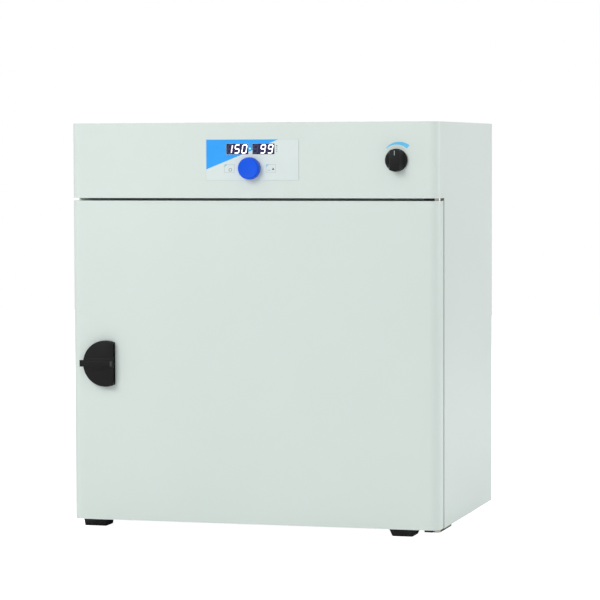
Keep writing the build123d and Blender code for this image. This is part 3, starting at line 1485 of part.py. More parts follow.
with BuildPart() as mains_inlet:
    with BuildSketch(upright(rear_panel_y)):
        with Locations((mains_x, mains_axis_z)):
            Rectangle(inlet_width, inlet_height)
    extrude(amount=inlet_depth)
    with BuildSketch(upright(rear_panel_y + inlet_rim_thickness)):
        with Locations((mains_x, mains_axis_z)):
            RectangleRounded(inlet_width + 2 * inlet_rim, inlet_height + 2 * inlet_rim, inlet_rim)
    extrude(amount=inlet_rim_thickness)
    with BuildSketch(upright(rear_panel_y + inlet_rim_thickness)) as socket:
        with Locations((mains_x, mains_axis_z)):
            Rectangle(inlet_socket_width, inlet_socket_height)
        chamfer(socket.vertices().group_by(Axis.Y)[-1], inlet_chamfer)
    extrude(amount=inlet_socket_depth, mode=Mode.SUBTRACT)
    socket_floor_y = rear_panel_y + inlet_rim_thickness - inlet_socket_depth
    with BuildSketch(upright(socket_floor_y + inlet_pin_size[2])):
        for step, drop in ((-1, -inlet_pin_drop), (0, inlet_pin_drop), (1, -inlet_pin_drop)):
            with Locations((mains_x + step * inlet_pin_spacing, mains_axis_z + drop)):
                Rectangle(inlet_pin_size[0], inlet_pin_size[1])
    extrude(amount=inlet_pin_size[2])
mains_inlet.part.label = "mains_inlet"
export_step(mains_inlet.part, "parts/mains_inlet.step")

rocker_pivot_y = rear_panel_y - rocker_pivot_depth
switch_inner_width = switch_width - 2 * switch_wall
switch_inner_height = switch_height - 2 * switch_wall
with BuildPart() as switch_body:
    with BuildSketch(upright(rear_panel_y)):
        with Locations((switch_x, mains_axis_z)):
            Rectangle(switch_width, switch_height)
    extrude(amount=switch_depth)
    with BuildSketch(upright(rear_panel_y + switch_rim_thickness)):
        with Locations((switch_x, mains_axis_z)):
            RectangleRounded(switch_width + 2 * switch_rim, switch_height + 2 * switch_rim, switch_rim)
    extrude(amount=switch_rim_thickness)
    with BuildSketch(upright(rear_panel_y + switch_rim_thickness)):
        with Locations((switch_x, mains_axis_z)):
            Rectangle(switch_inner_width, switch_inner_height)
    extrude(amount=switch_depth - switch_wall, mode=Mode.SUBTRACT)
    with BuildSketch(Plane.YZ.offset(switch_x - switch_width / 2)):
        with Locations((rocker_pivot_y, mains_axis_z)):
            Circle(rocker_axle_radius + running_gap)
    extrude(amount=switch_width, mode=Mode.SUBTRACT)
switch_body.part.label = "switch_body"
export_step(switch_body.part, "parts/switch_body.step")

rocker_half_width = switch_inner_width / 2 - loose_gap
with BuildPart() as mains_rocker:
    lean = radians(rocker_tilt)
    rocker_plane = Plane(
        origin=(switch_x - rocker_half_width, rocker_pivot_y, mains_axis_z),
        x_dir=(0, cos(lean), sin(lean)),
        z_dir=(1, 0, 0),
    )
    with BuildSketch(rocker_plane):
        with BuildLine():
            Polyline(
                (rocker_crown, rocker_half_height),
                (rocker_crown - rocker_dip, 0),
                (rocker_crown, -rocker_half_height),
                (-rocker_body_depth, -rocker_foot),
                (-rocker_body_depth, rocker_foot),
                close=True,
            )
        make_face()
    extrude(amount=2 * rocker_half_width)
    with BuildSketch(rocker_plane.offset(-(switch_width / 2 - rocker_half_width) + hole_gap)):
        Circle(rocker_axle_radius)
    extrude(amount=switch_width - 2 * hole_gap)
mains_rocker.part.label = "mains_rocker"
export_step(mains_rocker.part, "parts/mains_rocker.step")
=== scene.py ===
import json
import math

import bmesh
import bpy
from mathutils import Matrix, Vector


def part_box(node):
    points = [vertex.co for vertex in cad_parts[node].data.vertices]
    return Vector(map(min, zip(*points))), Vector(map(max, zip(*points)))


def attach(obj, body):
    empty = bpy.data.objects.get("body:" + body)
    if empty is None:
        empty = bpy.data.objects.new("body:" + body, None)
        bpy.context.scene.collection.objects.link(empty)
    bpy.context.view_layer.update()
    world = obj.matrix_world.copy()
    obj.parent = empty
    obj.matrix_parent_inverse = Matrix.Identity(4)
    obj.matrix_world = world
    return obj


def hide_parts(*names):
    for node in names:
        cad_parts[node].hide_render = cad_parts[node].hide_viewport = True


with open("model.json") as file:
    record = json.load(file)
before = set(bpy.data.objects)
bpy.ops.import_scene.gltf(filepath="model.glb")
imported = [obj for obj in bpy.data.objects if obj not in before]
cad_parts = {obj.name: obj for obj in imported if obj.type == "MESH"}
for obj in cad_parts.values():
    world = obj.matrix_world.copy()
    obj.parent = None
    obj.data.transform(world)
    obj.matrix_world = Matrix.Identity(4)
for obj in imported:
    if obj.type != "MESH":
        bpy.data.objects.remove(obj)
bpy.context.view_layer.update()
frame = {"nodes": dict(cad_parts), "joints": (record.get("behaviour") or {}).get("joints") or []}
nodes = frame["nodes"]
joints = {joint["name"]: joint for joint in frame["joints"]}
mm = 0.001

print("stage: frame loaded")


# Small helpers for working by hand in object and edit mode

def deselectAll():
    if bpy.context.object and bpy.context.object.mode != "OBJECT":
        bpy.ops.object.mode_set(mode="OBJECT")
    bpy.ops.object.select_all(action="DESELECT")


def pick(piece):
    deselectAll()
    piece.select_set(True)
    bpy.context.view_layer.objects.active = piece


def newPiece(name):
    piece = bpy.context.object
    piece.name = name
    bpy.ops.object.transform_apply(location=True, rotation=True, scale=True)
    return piece


def addBlock(name, low, high):
    # a cube stretched between two corners
    deselectAll()
    middle = (Vector(low) + Vector(high)) / 2
    bpy.ops.mesh.primitive_cube_add(size=1, location=middle)
    bpy.context.object.scale = Vector(high) - Vector(low)
    return newPiece(name)


def addRound(name, radius, nearY, farY, x, z, vertices=64):
    # a round bar along Y
    deselectAll()
    bpy.ops.mesh.primitive_cylinder_add(
        vertices=vertices, radius=radius, depth=abs(farY - nearY),
        location=(x, (nearY + farY) / 2, z), rotation=(math.pi / 2, 0, 0))
    return newPiece(name)


def selectParts(piece, faces=None, edges=None):
    # go into edit mode with only what the test chooses selected
    pick(piece)
    bpy.ops.object.mode_set(mode="EDIT")
    mesh = bmesh.from_edit_mesh(piece.data)
    mesh.normal_update()
    for group in (mesh.faces, mesh.edges, mesh.verts):
        for item in group:
            item.select = False
    if edges:
        bpy.context.tool_settings.mesh_select_mode = (False, True, False)
        for edge in mesh.edges:
            edge.select_set(bool(edges(edge.verts[0].co, edge.verts[1].co)))
    else:
        bpy.context.tool_settings.mesh_select_mode = (False, False, True)
        for face in mesh.faces:
            face.select_set(bool(faces(face.calc_center_median(), face.normal)))
    mesh.select_flush_mode()
    bmesh.update_edit_mesh(piece.data)


def leaveEdit():
    bpy.ops.object.mode_set(mode="OBJECT")


def bevelEdges(piece, test, width, segments=3):
    selectParts(piece, edges=test)
    bpy.ops.mesh.bevel(offset=width, segments=segments, profile=0.5)
    leaveEdit()


def cutAlong(piece, point, normal):
    # one flat cut that throws away the side the normal points to, and closes the rest
    pick(piece)
    bpy.ops.object.mode_set(mode="EDIT")
    bpy.ops.mesh.select_all(action="SELECT")
    bpy.ops.mesh.bisect(plane_co=point, plane_no=Vector(normal).normalized(), use_fill=True, clear_outer=True)
    leaveEdit()


def useModifier(piece, kind, **settings):
    pick(piece)
    modifier = piece.modifiers.new(kind.title(), kind)
    for key, value in settings.items():
        setattr(modifier, key, value)
    bpy.ops.object.modifier_apply(modifier=modifier.name)


def subtract(piece, cutter):
    useModifier(piece, "BOOLEAN", operation="DIFFERENCE", object=cutter, solver="EXACT")
    bpy.data.objects.remove(cutter)


def joinPieces(name, pieces):
    deselectAll()
    for piece in pieces:
        piece.select_set(True)
    bpy.context.view_layer.objects.active = pieces[0]
    if len(pieces) > 1:
        bpy.ops.object.join()
    joined = bpy.context.object
    joined.name = name
    return joined


def outward(piece):
    pick(piece)
    bpy.ops.object.mode_set(mode="EDIT")
    bpy.ops.mesh.select_all(action="SELECT")
    bpy.ops.mesh.remove_doubles(threshold=1e-6)
    bpy.ops.mesh.normals_make_consistent(inside=False)
    leaveEdit()


def finishPiece(piece, body, material, replaced=(), smooth=30):
    pick(piece)
    if smooth:
        bpy.ops.object.shade_smooth_by_angle(angle=math.radians(smooth))
    piece.data.materials.clear()
    piece.data.materials.append(material)
    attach(piece, body)
    if replaced:
        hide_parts(*replaced)
    return piece


def turned(name, rings, x, z, vertices):
    # a turned form: rings of (radius, y), extruded one after another from the first
    deselectAll()
    firstRadius, firstY = rings[0]
    bpy.ops.mesh.primitive_circle_add(
        vertices=vertices, radius=firstRadius, fill_type="NGON",
        location=(x, firstY, z), rotation=(math.pi / 2, 0, 0))
    piece = newPiece(name)
    bpy.ops.object.mode_set(mode="EDIT")
    bpy.ops.mesh.select_all(action="SELECT")
    radius, y = firstRadius, firstY
    for nextRadius, nextY in rings[1:]:
        bpy.ops.mesh.extrude_region_move(TRANSFORM_OT_translate={"value": (0, nextY - y, 0)})
        factor = nextRadius / radius
        bpy.ops.transform.resize(value=(factor, 1, factor), center_override=(x, nextY, z))
        radius, y = nextRadius, nextY
    leaveEdit()
    outward(piece)
    return piece


# Materials, each with its own grain on object coordinates

def startMaterial(name):
    material = bpy.data.materials.new(name)
    material.use_nodes = True
    tree = material.node_tree
    shader = tree.nodes["Principled BSDF"]
    coordinates = tree.nodes.new("ShaderNodeTexCoord")
    return material, tree, shader, coordinates.outputs["Object"]


def grain(tree, source, scale, detail=4, stretch=(1, 1, 1), roughness=0.5):
    mapping = tree.nodes.new("ShaderNodeMapping")
    mapping.inputs["Scale"].default_value = stretch
    tree.links.new(source, mapping.inputs["Vector"])
    noise = tree.nodes.new("ShaderNodeTexNoise")
    noise.inputs["Scale"].default_value = scale
    noise.inputs["Detail"].default_value = detail
    noise.inputs["Roughness"].default_value = roughness
    tree.links.new(mapping.outputs["Vector"], noise.inputs["Vector"])
    return noise.outputs["Fac"]


def ramp(tree, source, low, high, start=0.3, end=0.7):
    # from one colour or grey to another over part of the grain
    node = tree.nodes.new("ShaderNodeValToRGB")
    for element, place, value in zip(node.color_ramp.elements, (start, end), (low, high)):
        element.position = place
        element.color = (value, value, value, 1) if isinstance(value, float) else (*value, 1)
    tree.links.new(source, node.inputs["Fac"])
    return node.outputs["Color"]


def bump(tree, shader, source, strength, distance):
    node = tree.nodes.new("ShaderNodeBump")
    node.inputs["Strength"].default_value = strength
    node.inputs["Distance"].default_value = distance
    tree.links.new(source, node.inputs["Height"])
    tree.links.new(node.outputs["Normal"], shader.inputs["Normal"])


def enamel(name, colour, shade, roughness=0.32):
    material, tree, shader, place = startMaterial(name)
    clouds = grain(tree, place, 3.5, detail=3)
    peel = grain(tree, place, 900, detail=2)
    tree.links.new(ramp(tree, clouds, shade, colour), shader.inputs["Base Color"])
    tree.links.new(ramp(tree, clouds, roughness - 0.03, roughness + 0.04), shader.inputs["Roughness"])
    shader.inputs["Specular IOR Level"].default_value = 0.35
    bump(tree, shader, peel, 0.05, 0.0002)
    return material


def brushed(name, colour, shade, stretch, roughness=0.3, scale=60):
    material, tree, shader, place = startMaterial(name)
    strokes = grain(tree, place, scale, detail=6, stretch=stretch, roughness=0.65)
    clouds = grain(tree, place, 6, detail=3)
    tree.links.new(ramp(tree, strokes, shade, colour), shader.inputs["Base Color"])
    tree.links.new(ramp(tree, clouds, roughness - 0.05, roughness + 0.08), shader.inputs["Roughness"])
    shader.inputs["Metallic"].default_value = 1
    bump(tree, shader, strokes, 0.25, 0.00008)
    return material


def spangled(name, colour, shade):
    # zinc crystals on hot-dipped sheet
    material, tree, shader, place = startMaterial(name)
    crystals = tree.nodes.new("ShaderNodeTexVoronoi")
    crystals.inputs["Scale"].default_value = 90
    tree.links.new(place, crystals.inputs["Vector"])
    tones = crystals.outputs["Color"]
    tree.links.new(ramp(tree, tones, shade, colour, 0.2, 0.9), shader.inputs["Base Color"])
    tree.links.new(ramp(tree, tones, 0.38, 0.5, 0.2, 0.9), shader.inputs["Roughness"])
    shader.inputs["Metallic"].default_value = 0.9
    return material


def moulded(name, colour, shade, roughness=0.35, texture=1400, depth=0.00006, specular=0.5):
    material, tree, shader, place = startMaterial(name)
    clouds = grain(tree, place, 25, detail=3)
    fine = grain(tree, place, texture, detail=3)
    tree.links.new(ramp(tree, clouds, shade, colour), shader.inputs["Base Color"])
    tree.links.new(ramp(tree, fine, roughness - 0.06, roughness + 0.08), shader.inputs["Roughness"])
    shader.inputs["Specular IOR Level"].default_value = specular
    bump(tree, shader, fine, 0.2, depth)
    return material


def fibrous(name, colour, shade):
    material, tree, shader, place = startMaterial(name)
    fibres = grain(tree, place, 220, detail=8, stretch=(1, 1, 3), roughness=0.75)
    lumps = grain(tree, place, 30, detail=4)
    tree.links.new(ramp(tree, fibres, shade, colour), shader.inputs["Base Color"])
    shader.inputs["Roughness"].default_value = 0.95
    bump(tree, shader, lumps, 0.6, 0.002)
    return material


def glowing(name, colour, edge, strength):
    material, tree, shader, place = startMaterial(name)
    clouds = grain(tree, place, 500, detail=1)
    tree.links.new(ramp(tree, clouds, edge, colour), shader.inputs["Emission Color"])
    shader.inputs["Emission Strength"].default_value = strength
    tree.links.new(ramp(tree, clouds, edge, colour), shader.inputs["Base Color"])
    shader.inputs["Roughness"].default_value = 0.4
    return material


finishes = {
    "cabinet": enamel("cabinetEnamel", (0.672, 0.750, 0.715), (0.655, 0.733, 0.698)),
    "bracket": enamel("bracketEnamel", (0.012, 0.012, 0.012), (0.008, 0.008, 0.008), 0.4),
    "chamber": brushed("chamberSteel", (0.62, 0.61, 0.59), (0.50, 0.49, 0.47), (1, 0.05, 1)),
    "panelSteel": brushed("panelSteel", (0.64, 0.63, 0.61), (0.52, 0.51, 0.49), (0.05, 1, 1)),
    "turnedSteel": brushed("turnedSteel", (0.60, 0.58, 0.54), (0.45, 0.44, 0.41), (1, 1, 1), 0.25, 200),
    "wire": brushed("shelfWire", (0.72, 0.71, 0.70), (0.60, 0.59, 0.58), (1, 1, 1), 0.18, 120),
    "zinc": spangled("zincSheet", (0.55, 0.57, 0.58), (0.42, 0.44, 0.45)),
    "sheath": brushed("heaterSheath", (0.20, 0.19, 0.18), (0.10, 0.09, 0.085), (1, 1, 1), 0.5, 80),
    "aluminium": brushed("heatSinkAluminium", (0.62, 0.63, 0.64), (0.5, 0.51, 0.52), (0.05, 1, 1), 0.35),
    "magnet": brushed("magnetSteel", (0.16, 0.16, 0.17), (0.09, 0.09, 0.10), (1, 1, 1), 0.45, 150),
    "wool": fibrous("mineralWool", (0.60, 0.53, 0.30), (0.38, 0.32, 0.16)),
    "seal": moulded("sealSilicone", (0.34, 0.055, 0.035), (0.27, 0.040, 0.025), 0.55, 700),
    "foot": moulded("footRubber", (0.016, 0.016, 0.017), (0.010, 0.010, 0.011), 0.6, 600, 0.0001),
    "black": moulded("blackMoulding", (0.006, 0.006, 0.007), (0.0035, 0.0035, 0.004), 0.42, specular=0.22),
    "pale": moulded("paleMoulding", (0.62, 0.62, 0.58), (0.55, 0.55, 0.51), 0.45),
    "blue": moulded("blueMoulding", (0.001, 0.098, 0.80), (0.001, 0.088, 0.74), 0.45, specular=0.2),
    "board": moulded("boardMask", (0.02, 0.16, 0.06), (0.015, 0.11, 0.045), 0.4, 300),
    "overlay": moulded("overlayFoil", (0.680, 0.765, 0.745), (0.665, 0.750, 0.730), 0.42, 2200, 0.00003),
    "lens": moulded("displayLens", (0.020, 0.018, 0.095), (0.013, 0.012, 0.055), 0.12, 1500, 0.00001),
    "unlit": moulded("unlitSegment", (0.045, 0.045, 0.105), (0.035, 0.035, 0.085), 0.3),
    "blueInk": moulded("blueInk", (0.004, 0.345, 0.93), (0.003, 0.320, 0.88), 0.42, 2200, 0.00003),
    "skyInk": moulded("skyInk", (0.11, 0.57, 0.90), (0.10, 0.53, 0.86), 0.42, 2200, 0.00003),
    "greyInk": moulded("greyInk", (0.33, 0.40, 0.41), (0.29, 0.36, 0.37), 0.45, 2200, 0.00003),
    "darkInk": moulded("darkInk", (0.035, 0.045, 0.05), (0.028, 0.036, 0.04), 0.45, 2200, 0.00003),
    "paleInk": moulded("paleInk", (0.56, 0.66, 0.655), (0.53, 0.63, 0.625), 0.45, 2200, 0.00003),
    # a slightly lighter black for the end of the handle bar: a painted highlight where the end face catches
    # the light
    "paintedHighlightBlack": moulded("paintedHighlightMoulding", (0.028, 0.028, 0.030), (0.020, 0.020, 0.022), 0.4),
    "digit": glowing("digitGlow", (0.95, 0.93, 1.0), (0.80, 0.75, 1.0), 1.25),
    "dot": glowing("dotGlow", (0.25, 0.80, 0.95), (0.15, 0.68, 0.92), 1.0),
}

nodeFinishes = {
    "cabinet": ["side_panel_left", "side_panel_right", "top_cover", "base_plate", "front_frame", "fascia",
                "door_skin"],
    "zinc": ["rear_panel", "electronics_tray", "exhaust_duct"],
    "magnet": ["fan_motor", "latch_magnet"],
    "chamber": ["chamber_shell", "shelf_rack_left", "shelf_rack_right", "fan_impeller"],
    "panelSteel": ["chamber_rear_wall", "air_baffle", "door_inner_panel", "exhaust_pipe", "damper_disc"],
    "wire": ["shelf_lower", "shelf_upper"],
    "turnedSteel": ["case_screws", "hinge_pins", "damper_rod", "fan_shaft", "encoder_shaft", "handle_pin",
                    "temperature_probe", "latch_armature"],
    "bracket": ["hinge_bracket_bottom", "hinge_bracket_top"],
    "sheath": ["heater_element"],
    "wool": ["insulation_left", "insulation_right", "insulation_top", "insulation_bottom",
             "insulation_rear", "door_wool"],
    "seal": ["door_seal"],
    "foot": ["feet"],
    "black": ["handle_paddle", "handle_cup", "damper_knob", "mains_inlet", "switch_body", "mains_rocker",
              "encoder_body"],
    "blue": ["encoder_knob", "encoder_plunger"],
    "overlay": ["membrane"],
    "lens": ["display_modules"],
    "board": ["control_board", "power_board"],
    "aluminium": ["heater_relay"],
    "pale": ["hinge_bushes", "damper_bush"],
}
for finish, names in nodeFinishes.items():
    for nodeName in names:
        nodes[nodeName].data.materials.clear()
        nodes[nodeName].data.materials.append(finishes[finish])

print("stage: finishes on the frame's own parts")


# Places taken from the frame

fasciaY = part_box("fascia")[0].y
panelLow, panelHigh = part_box("membrane")
lensLow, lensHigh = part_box("display_modules")
damperX, _, damperZ = joints["damper_turn"]["pos_m"]
encoderX, _, encoderZ = joints["encoder_turn"]["pos_m"]


def islandBoxes(nodeName):
    # lowest and highest corner of each separate solid of a frame node
    mesh = bmesh.new()
    mesh.from_mesh(nodes[nodeName].data)
    bmesh.ops.remove_doubles(mesh, verts=mesh.verts, dist=1e-6)
    left = set(mesh.verts)
    boxes = []
    while left:
        stack = [left.pop()]
        found = []
        while stack:
            vert = stack.pop()
            found.append(vert.co.copy())
            for edge in vert.link_edges:
                other = edge.other_vert(vert)
                if other in left:
                    left.remove(other)
                    stack.append(other)
        boxes.append((Vector([min(c[i] for c in found) for i in range(3)]),
                      Vector([max(c[i] for c in found) for i in range(3)])))
    mesh.free()
    return sorted(boxes, key=lambda pair: tuple(pair[0]))


# Printed panel: outline, blue field, icons and marks

panel = {
    "film": 0.05 * mm,
    "lineWidth": 0.45 * mm,
    "fieldRight": 45.9 * mm,     # where the blue field meets the top edge
    "fieldDrop": 49.3 * mm,      # how far it runs down the left edge
    "windowGap": 0.35 * mm,
    "windowWidth": 37.8 * mm,
    "iconLine": 0.35 * mm,
    "iconLow": 603.0 * mm,
    "iconHigh": 616.5 * mm,
    "setIcon": (-47.2 * mm, -29.6 * mm),
    "timeIcon": (25.0 * mm, 41.7 * mm),
    "flashInset": (0.6 * mm, 0.5 * mm),  # from the icon's left and top
    "flashSize": 4.1 * mm,
    "ring": (-36.8 * mm, 607.6 * mm),
    "ringRadius": 2.7 * mm,
    "ringLine": 0.6 * mm,
    "arrow": (37.2 * mm, 608.6 * mm),
    "arrowRadius": 2.5 * mm,
    "dash": (27.6 * mm, 606.3 * mm, 32.4 * mm, 607.1 * mm),
    "markInks": ["greyInk", "greyInk", "greyInk", "darkInk"],
    "markX": 42.3 * mm,
    "markLow": 636.8 * mm,
    "markStep": 3.2 * mm,
    "markWidth": 2.2 * mm,
    "markHeight": 1.5 * mm,
}
printY = panelLow.y - panel["film"]


def printed(name, left, low, right, high, ink=None):
    block = addBlock(name, (left, printY, low), (right, panelLow.y, high))
    return finishPiece(block, "case", finishes[ink], smooth=0) if ink else block


def printedFrame(name, left, low, right, high, width, ink):
    strips = [
        printed(name + "Low", left, low, right, low + width),
        printed(name + "High", left, high - width, right, high),
        printed(name + "Left", left, low + width, left + width, high - width),
        printed(name + "Right", right - width, low + width, right, high - width),
    ]
    return finishPiece(joinPieces(name, strips), "case", finishes[ink], smooth=0)


line = panel["lineWidth"]
printedFrame("panelOutline", panelLow.x, panelLow.z, panelHigh.x, panelHigh.z, line, "paleInk")
fieldLeft, fieldTop = panelLow.x + line, panelHigh.z - line
fieldLow = fieldTop - panel["fieldDrop"]
blueField = printed("blueField", fieldLeft, panelLow.z + line, panelHigh.x - line, fieldTop)
run, rise = panel["fieldRight"] - fieldLeft, panel["fieldDrop"]
cutAlong(blueField, (fieldLeft, 0, fieldLow), (rise, 0, -run))
gap = panel["windowGap"]
for left in (lensLow.x, lensHigh.x - panel["windowWidth"]):
    cutter = addBlock("windowCutter", (left - gap, printY - mm, lensLow.z - gap),
                      (left + panel["windowWidth"] + gap, panelLow.y + mm, lensHigh.z + gap))
    subtract(blueField, cutter)
finishPiece(blueField, "case", finishes["blueInk"], smooth=0)

iconHigh = panel["iconHigh"]
flashSize = panel["flashSize"]
for name in ("setIcon", "timeIcon"):
    left, right = panel[name]
    printedFrame(name + "Frame", left, panel["iconLow"], right, iconHigh, panel["iconLine"], "greyInk")
    flashLeft, flashLow = left + panel["flashInset"][0], iconHigh - panel["flashInset"][1] - flashSize
    flash = printed(name + "Flash", flashLeft, flashLow, flashLeft + flashSize, flashLow + flashSize)
    cutAlong(flash, (flashLeft, 0, flashLow), (1, 0, -1))
    finishPiece(flash, "case", finishes["skyInk"], smooth=0)

ring = addRound("setIconRing", panel["ringRadius"], printY, panelLow.y, *panel["ring"], 32)
ringHole = panel["ringRadius"] - panel["ringLine"]
subtract(ring, addRound("ringCutter", ringHole, printY - mm, panelLow.y + mm, *panel["ring"], 32))
finishPiece(ring, "case", finishes["darkInk"], smooth=0)
arrow = addRound("timeIconArrow", panel["arrowRadius"], printY, panelLow.y, *panel["arrow"], 3)
finishPiece(arrow, "case", finishes["darkInk"], smooth=0)
printed("timeIconDash", *panel["dash"], "greyInk")
for step, ink in enumerate(panel["markInks"]):
    low = panel["markLow"] + step * panel["markStep"]
    printed(f"sideMark{step}", panel["markX"], low, panel["markX"] + panel["markWidth"],
            low + panel["markHeight"], ink)

print("stage: printed panel")


# Seven-segment digits, slanted, one cell after another

digits = {
    "height": 13.4 * mm,
    "width": 7.2 * mm,
    "stroke": 1.8 * mm,
    "gap": 0.22 * mm,
    "slant": 0.17,
    "point": 0.9,                # share of a segment's half width that its ends are cut back by
    "film": 0.08 * mm,
    "cells": [("1", -37.6), ("5", -25.0), ("0", -12.4), (" ", 6.8), ("9", 19.8), ("9", 32.6)],
    "segments": {"0": "abcdef", "1": "bc", "5": "afgcd", "9": "abcdfg", " ": ""},
}
digitZ = (lensLow.z + lensHigh.z) / 2


def segment(name, letter, x):
    half, tall = digits["width"] / 2, digits["height"] / 2
    centres = {"a": (0, tall), "g": (0, 0), "d": (0, -tall), "b": (half, tall / 2), "c": (half, -tall / 2),
               "e": (-half, -tall / 2), "f": (-half, tall / 2)}
    across = letter in "adg"
    reach, thin = (half if across else tall / 2) - digits["gap"], digits["stroke"] / 2
    wide, high = (reach, thin) if across else (thin, reach)
    centreX, centreZ = x + centres[letter][0], digitZ + centres[letter][1]
    bar = addBlock(name, (centreX - wide, lensLow.y - digits["film"], centreZ - high),
                   (centreX + wide, lensLow.y, centreZ + high))
    bevelEdges(bar, lambda a, b: abs(a.x - b.x) < 1e-7 and abs(a.z - b.z) < 1e-7, thin * digits["point"],
               1)
    for vertex in bar.data.vertices:
        vertex.co.x += digits["slant"] * (vertex.co.z - digitZ)
    return bar


lit, unlit = [], []
for cell, (character, cellX) in enumerate(digits["cells"]):
    for letter in "abcdefg":
        bar = segment(f"segment{cell}{letter}", letter, cellX * mm)
        (lit if letter in digits["segments"][character] else unlit).append(bar)
finishPiece(joinPieces("litSegments", lit), "case", finishes["digit"], smooth=0)
finishPiece(joinPieces("unlitSegments", unlit), "case", finishes["unlit"], smooth=0)

light = {"x": -2.6 * mm, "z": 642.7 * mm, "radius": 1.5 * mm, "faceRadius": 1.1 * mm, "rise": 0.1 * mm}
dot = turned("statusDot", [
    (light["radius"], panelLow.y), (light["radius"], printY), (light["faceRadius"], printY - light["rise"]),
], light["x"], light["z"], 24)
finishPiece(dot, "case", finishes["dot"])

print("stage: display digits")


# Arc over the damper knob, thin at the left and thick at the right

arc = {"inner": 25.5 * mm, "thin": 1.2 * mm, "thick": 7.4 * mm, "half": math.radians(42), "steps": 40}
damperArc = addBlock("damperArc", (damperX + arc["inner"], fasciaY - panel["film"], damperZ),
                     (damperX + arc["inner"] + arc["thin"], fasciaY, damperZ + mm))
selectParts(damperArc, faces=lambda centre, normal: normal.z > -0.5)
bpy.ops.mesh.delete(type="FACE")
bpy.ops.mesh.select_all(action="SELECT")
bpy.ops.mesh.spin(steps=arc["steps"], angle=2 * arc["half"], center=(damperX, 0, damperZ), axis=(0, 1, 0))
leaveEdit()
startTurn = Matrix.Rotation(arc["half"] - math.pi / 2, 4, "Y")
centre = Vector((damperX, 0, damperZ))
for vertex in damperArc.data.vertices:
    arm = startTurn @ (vertex.co - centre)
    flat = Vector((arm.x, 0, arm.z))
    if flat.length > arc["inner"] + arc["thin"] / 2:
        share = (math.atan2(arm.x, arm.z) + arc["half"]) / (2 * arc["half"])
        width = arc["thin"] + share * (arc["thick"] - arc["thin"])
        flat = flat.normalized() * (arc["inner"] + width)
    vertex.co = centre + flat + Vector((0, arm.y, 0))
outward(damperArc)
finishPiece(damperArc, "case", finishes["skyInk"], smooth=0)


# Damper knob: a skirt with a grip bar between two scooped sides

damperKnob = {
    "radius": 18.8 * mm,
    # mm in from the rim, mm off the fascia
    "skirt": [(0.4, 1.3), (0, 1.8), (0, 3.4), (0.5, 4.2), (2.5, 4.7)],
    "stand": 15.9 * mm,
    "gripRadius": 17.9 * mm,
    "gripFoot": 3.7 * mm,
    "gripWidth": 12.4 * mm,
    "scoop": 46.0 * mm,
    "scoopCentre": 13.8 * mm,    # in front of the knob's face
    "edge": 0.7 * mm,
    "pointerHalf": 0.6 * mm,
    "pointerFrom": 8.0 * mm,
    "pointerTo": 15.5 * mm,
    "pointerRise": 0.04 * mm,
    "pointerSunk": 0.2 * mm,
}
knobFace = fasciaY - damperKnob["stand"]
knobSkirt = turned("damperKnobSkirt", [
    (damperKnob["radius"] - inset * mm, fasciaY - off * mm) for inset, off in damperKnob["skirt"]
], damperX, damperZ, 96)
finishPiece(knobSkirt, "damper", finishes["black"])
knobGrip = addRound("damperKnobGrip", damperKnob["gripRadius"], knobFace, fasciaY - damperKnob["gripFoot"],
                    damperX, damperZ, 96)
for side in (-1, 1):
    scoopX = damperX + side * (damperKnob["gripWidth"] / 2 + damperKnob["scoop"])
    deselectAll()
    bpy.ops.mesh.primitive_cylinder_add(vertices=128, radius=damperKnob["scoop"], depth=100 * mm,
                                        location=(scoopX, knobFace - damperKnob["scoopCentre"], damperZ))
    subtract(knobGrip, newPiece("scoopCutter"))
useModifier(knobGrip, "BEVEL", width=damperKnob["edge"], segments=3, limit_method="ANGLE",
            angle_limit=math.radians(35))
finishPiece(knobGrip, "damper", finishes["black"], ["damper_knob"])
pointer = addBlock("damperKnobPointer",
                   (damperX - damperKnob["pointerHalf"], knobFace - damperKnob["pointerRise"],
                    damperZ + damperKnob["pointerFrom"]),
                   (damperX + damperKnob["pointerHalf"], knobFace + damperKnob["pointerSunk"],
                    damperZ + damperKnob["pointerTo"]))
finishPiece(pointer, "damper", finishes["greyInk"], smooth=0)


# Blue setting knob: a slightly dished cap with a rounded edge

cap = {
    "radius": 18.5 * mm,
    # mm in from the rim, mm off the fascia
    "rings": [(0.3, 1.8), (0, 2.2), (0.35, 11.0), (0.7, 12.4), (1.3, 13.4), (2.2, 13.9), (3.2, 14.0),
              (4.4, 13.85), (8.5, 13.45), (13.5, 13.25), (17.9, 13.2)],
}
blueKnob = turned("settingKnob", [
    (cap["radius"] - inset * mm, fasciaY - off * mm) for inset, off in cap["rings"]
], encoderX, encoderZ, 96)
finishPiece(blueKnob, "encoder_dial", finishes["blue"], ["encoder_knob"], smooth=45)

print("stage: knobs")


# Pull handle: a D-shaped plate with a raised bar, on a pivot near its left edge

handle = {
    "radius": 39.0 * mm,
    "chord": 14.5 * mm,          # from the middle of the round to its straight edge
    "stand": 12.5 * mm,
    "wall": 3.0 * mm,
    "skirt": 7.0 * mm,
    "corner": 4.0 * mm,
    "edge": 1.5 * mm,
    "ribStart": 3.0 * mm,
    "ribStop": 0.4 * mm,
    "ribHalf": 10.0 * mm,
    "ribRise": 0.9 * mm,
    "ribEdge": 0.7 * mm,
    "barStop": 0.2 * mm,
    "barHalf": 5.5 * mm,
    "barRise": 2.2 * mm,
    "barEdge": 1.1 * mm,
    "tabReach": 5.5 * mm,
    "tabDepth": 3.5 * mm,
    "endStart": 4.6 * mm,
    "endStop": 0.9 * mm,
    "endInset": 1.2 * mm,
    "endRise": 0.35 * mm,
    "endSunk": 0.3 * mm,
    "endEdge": 0.3 * mm,
    "armThick": 2.5 * mm,
    "armHalf": 8.0 * mm,
    "armFoot": 3.0 * mm,
    "armEdge": 1.0 * mm,
    "hubThick": 3.0 * mm,
    "hubHalf": 9.7 * mm,
    "hubSunk": 0.2 * mm,
}
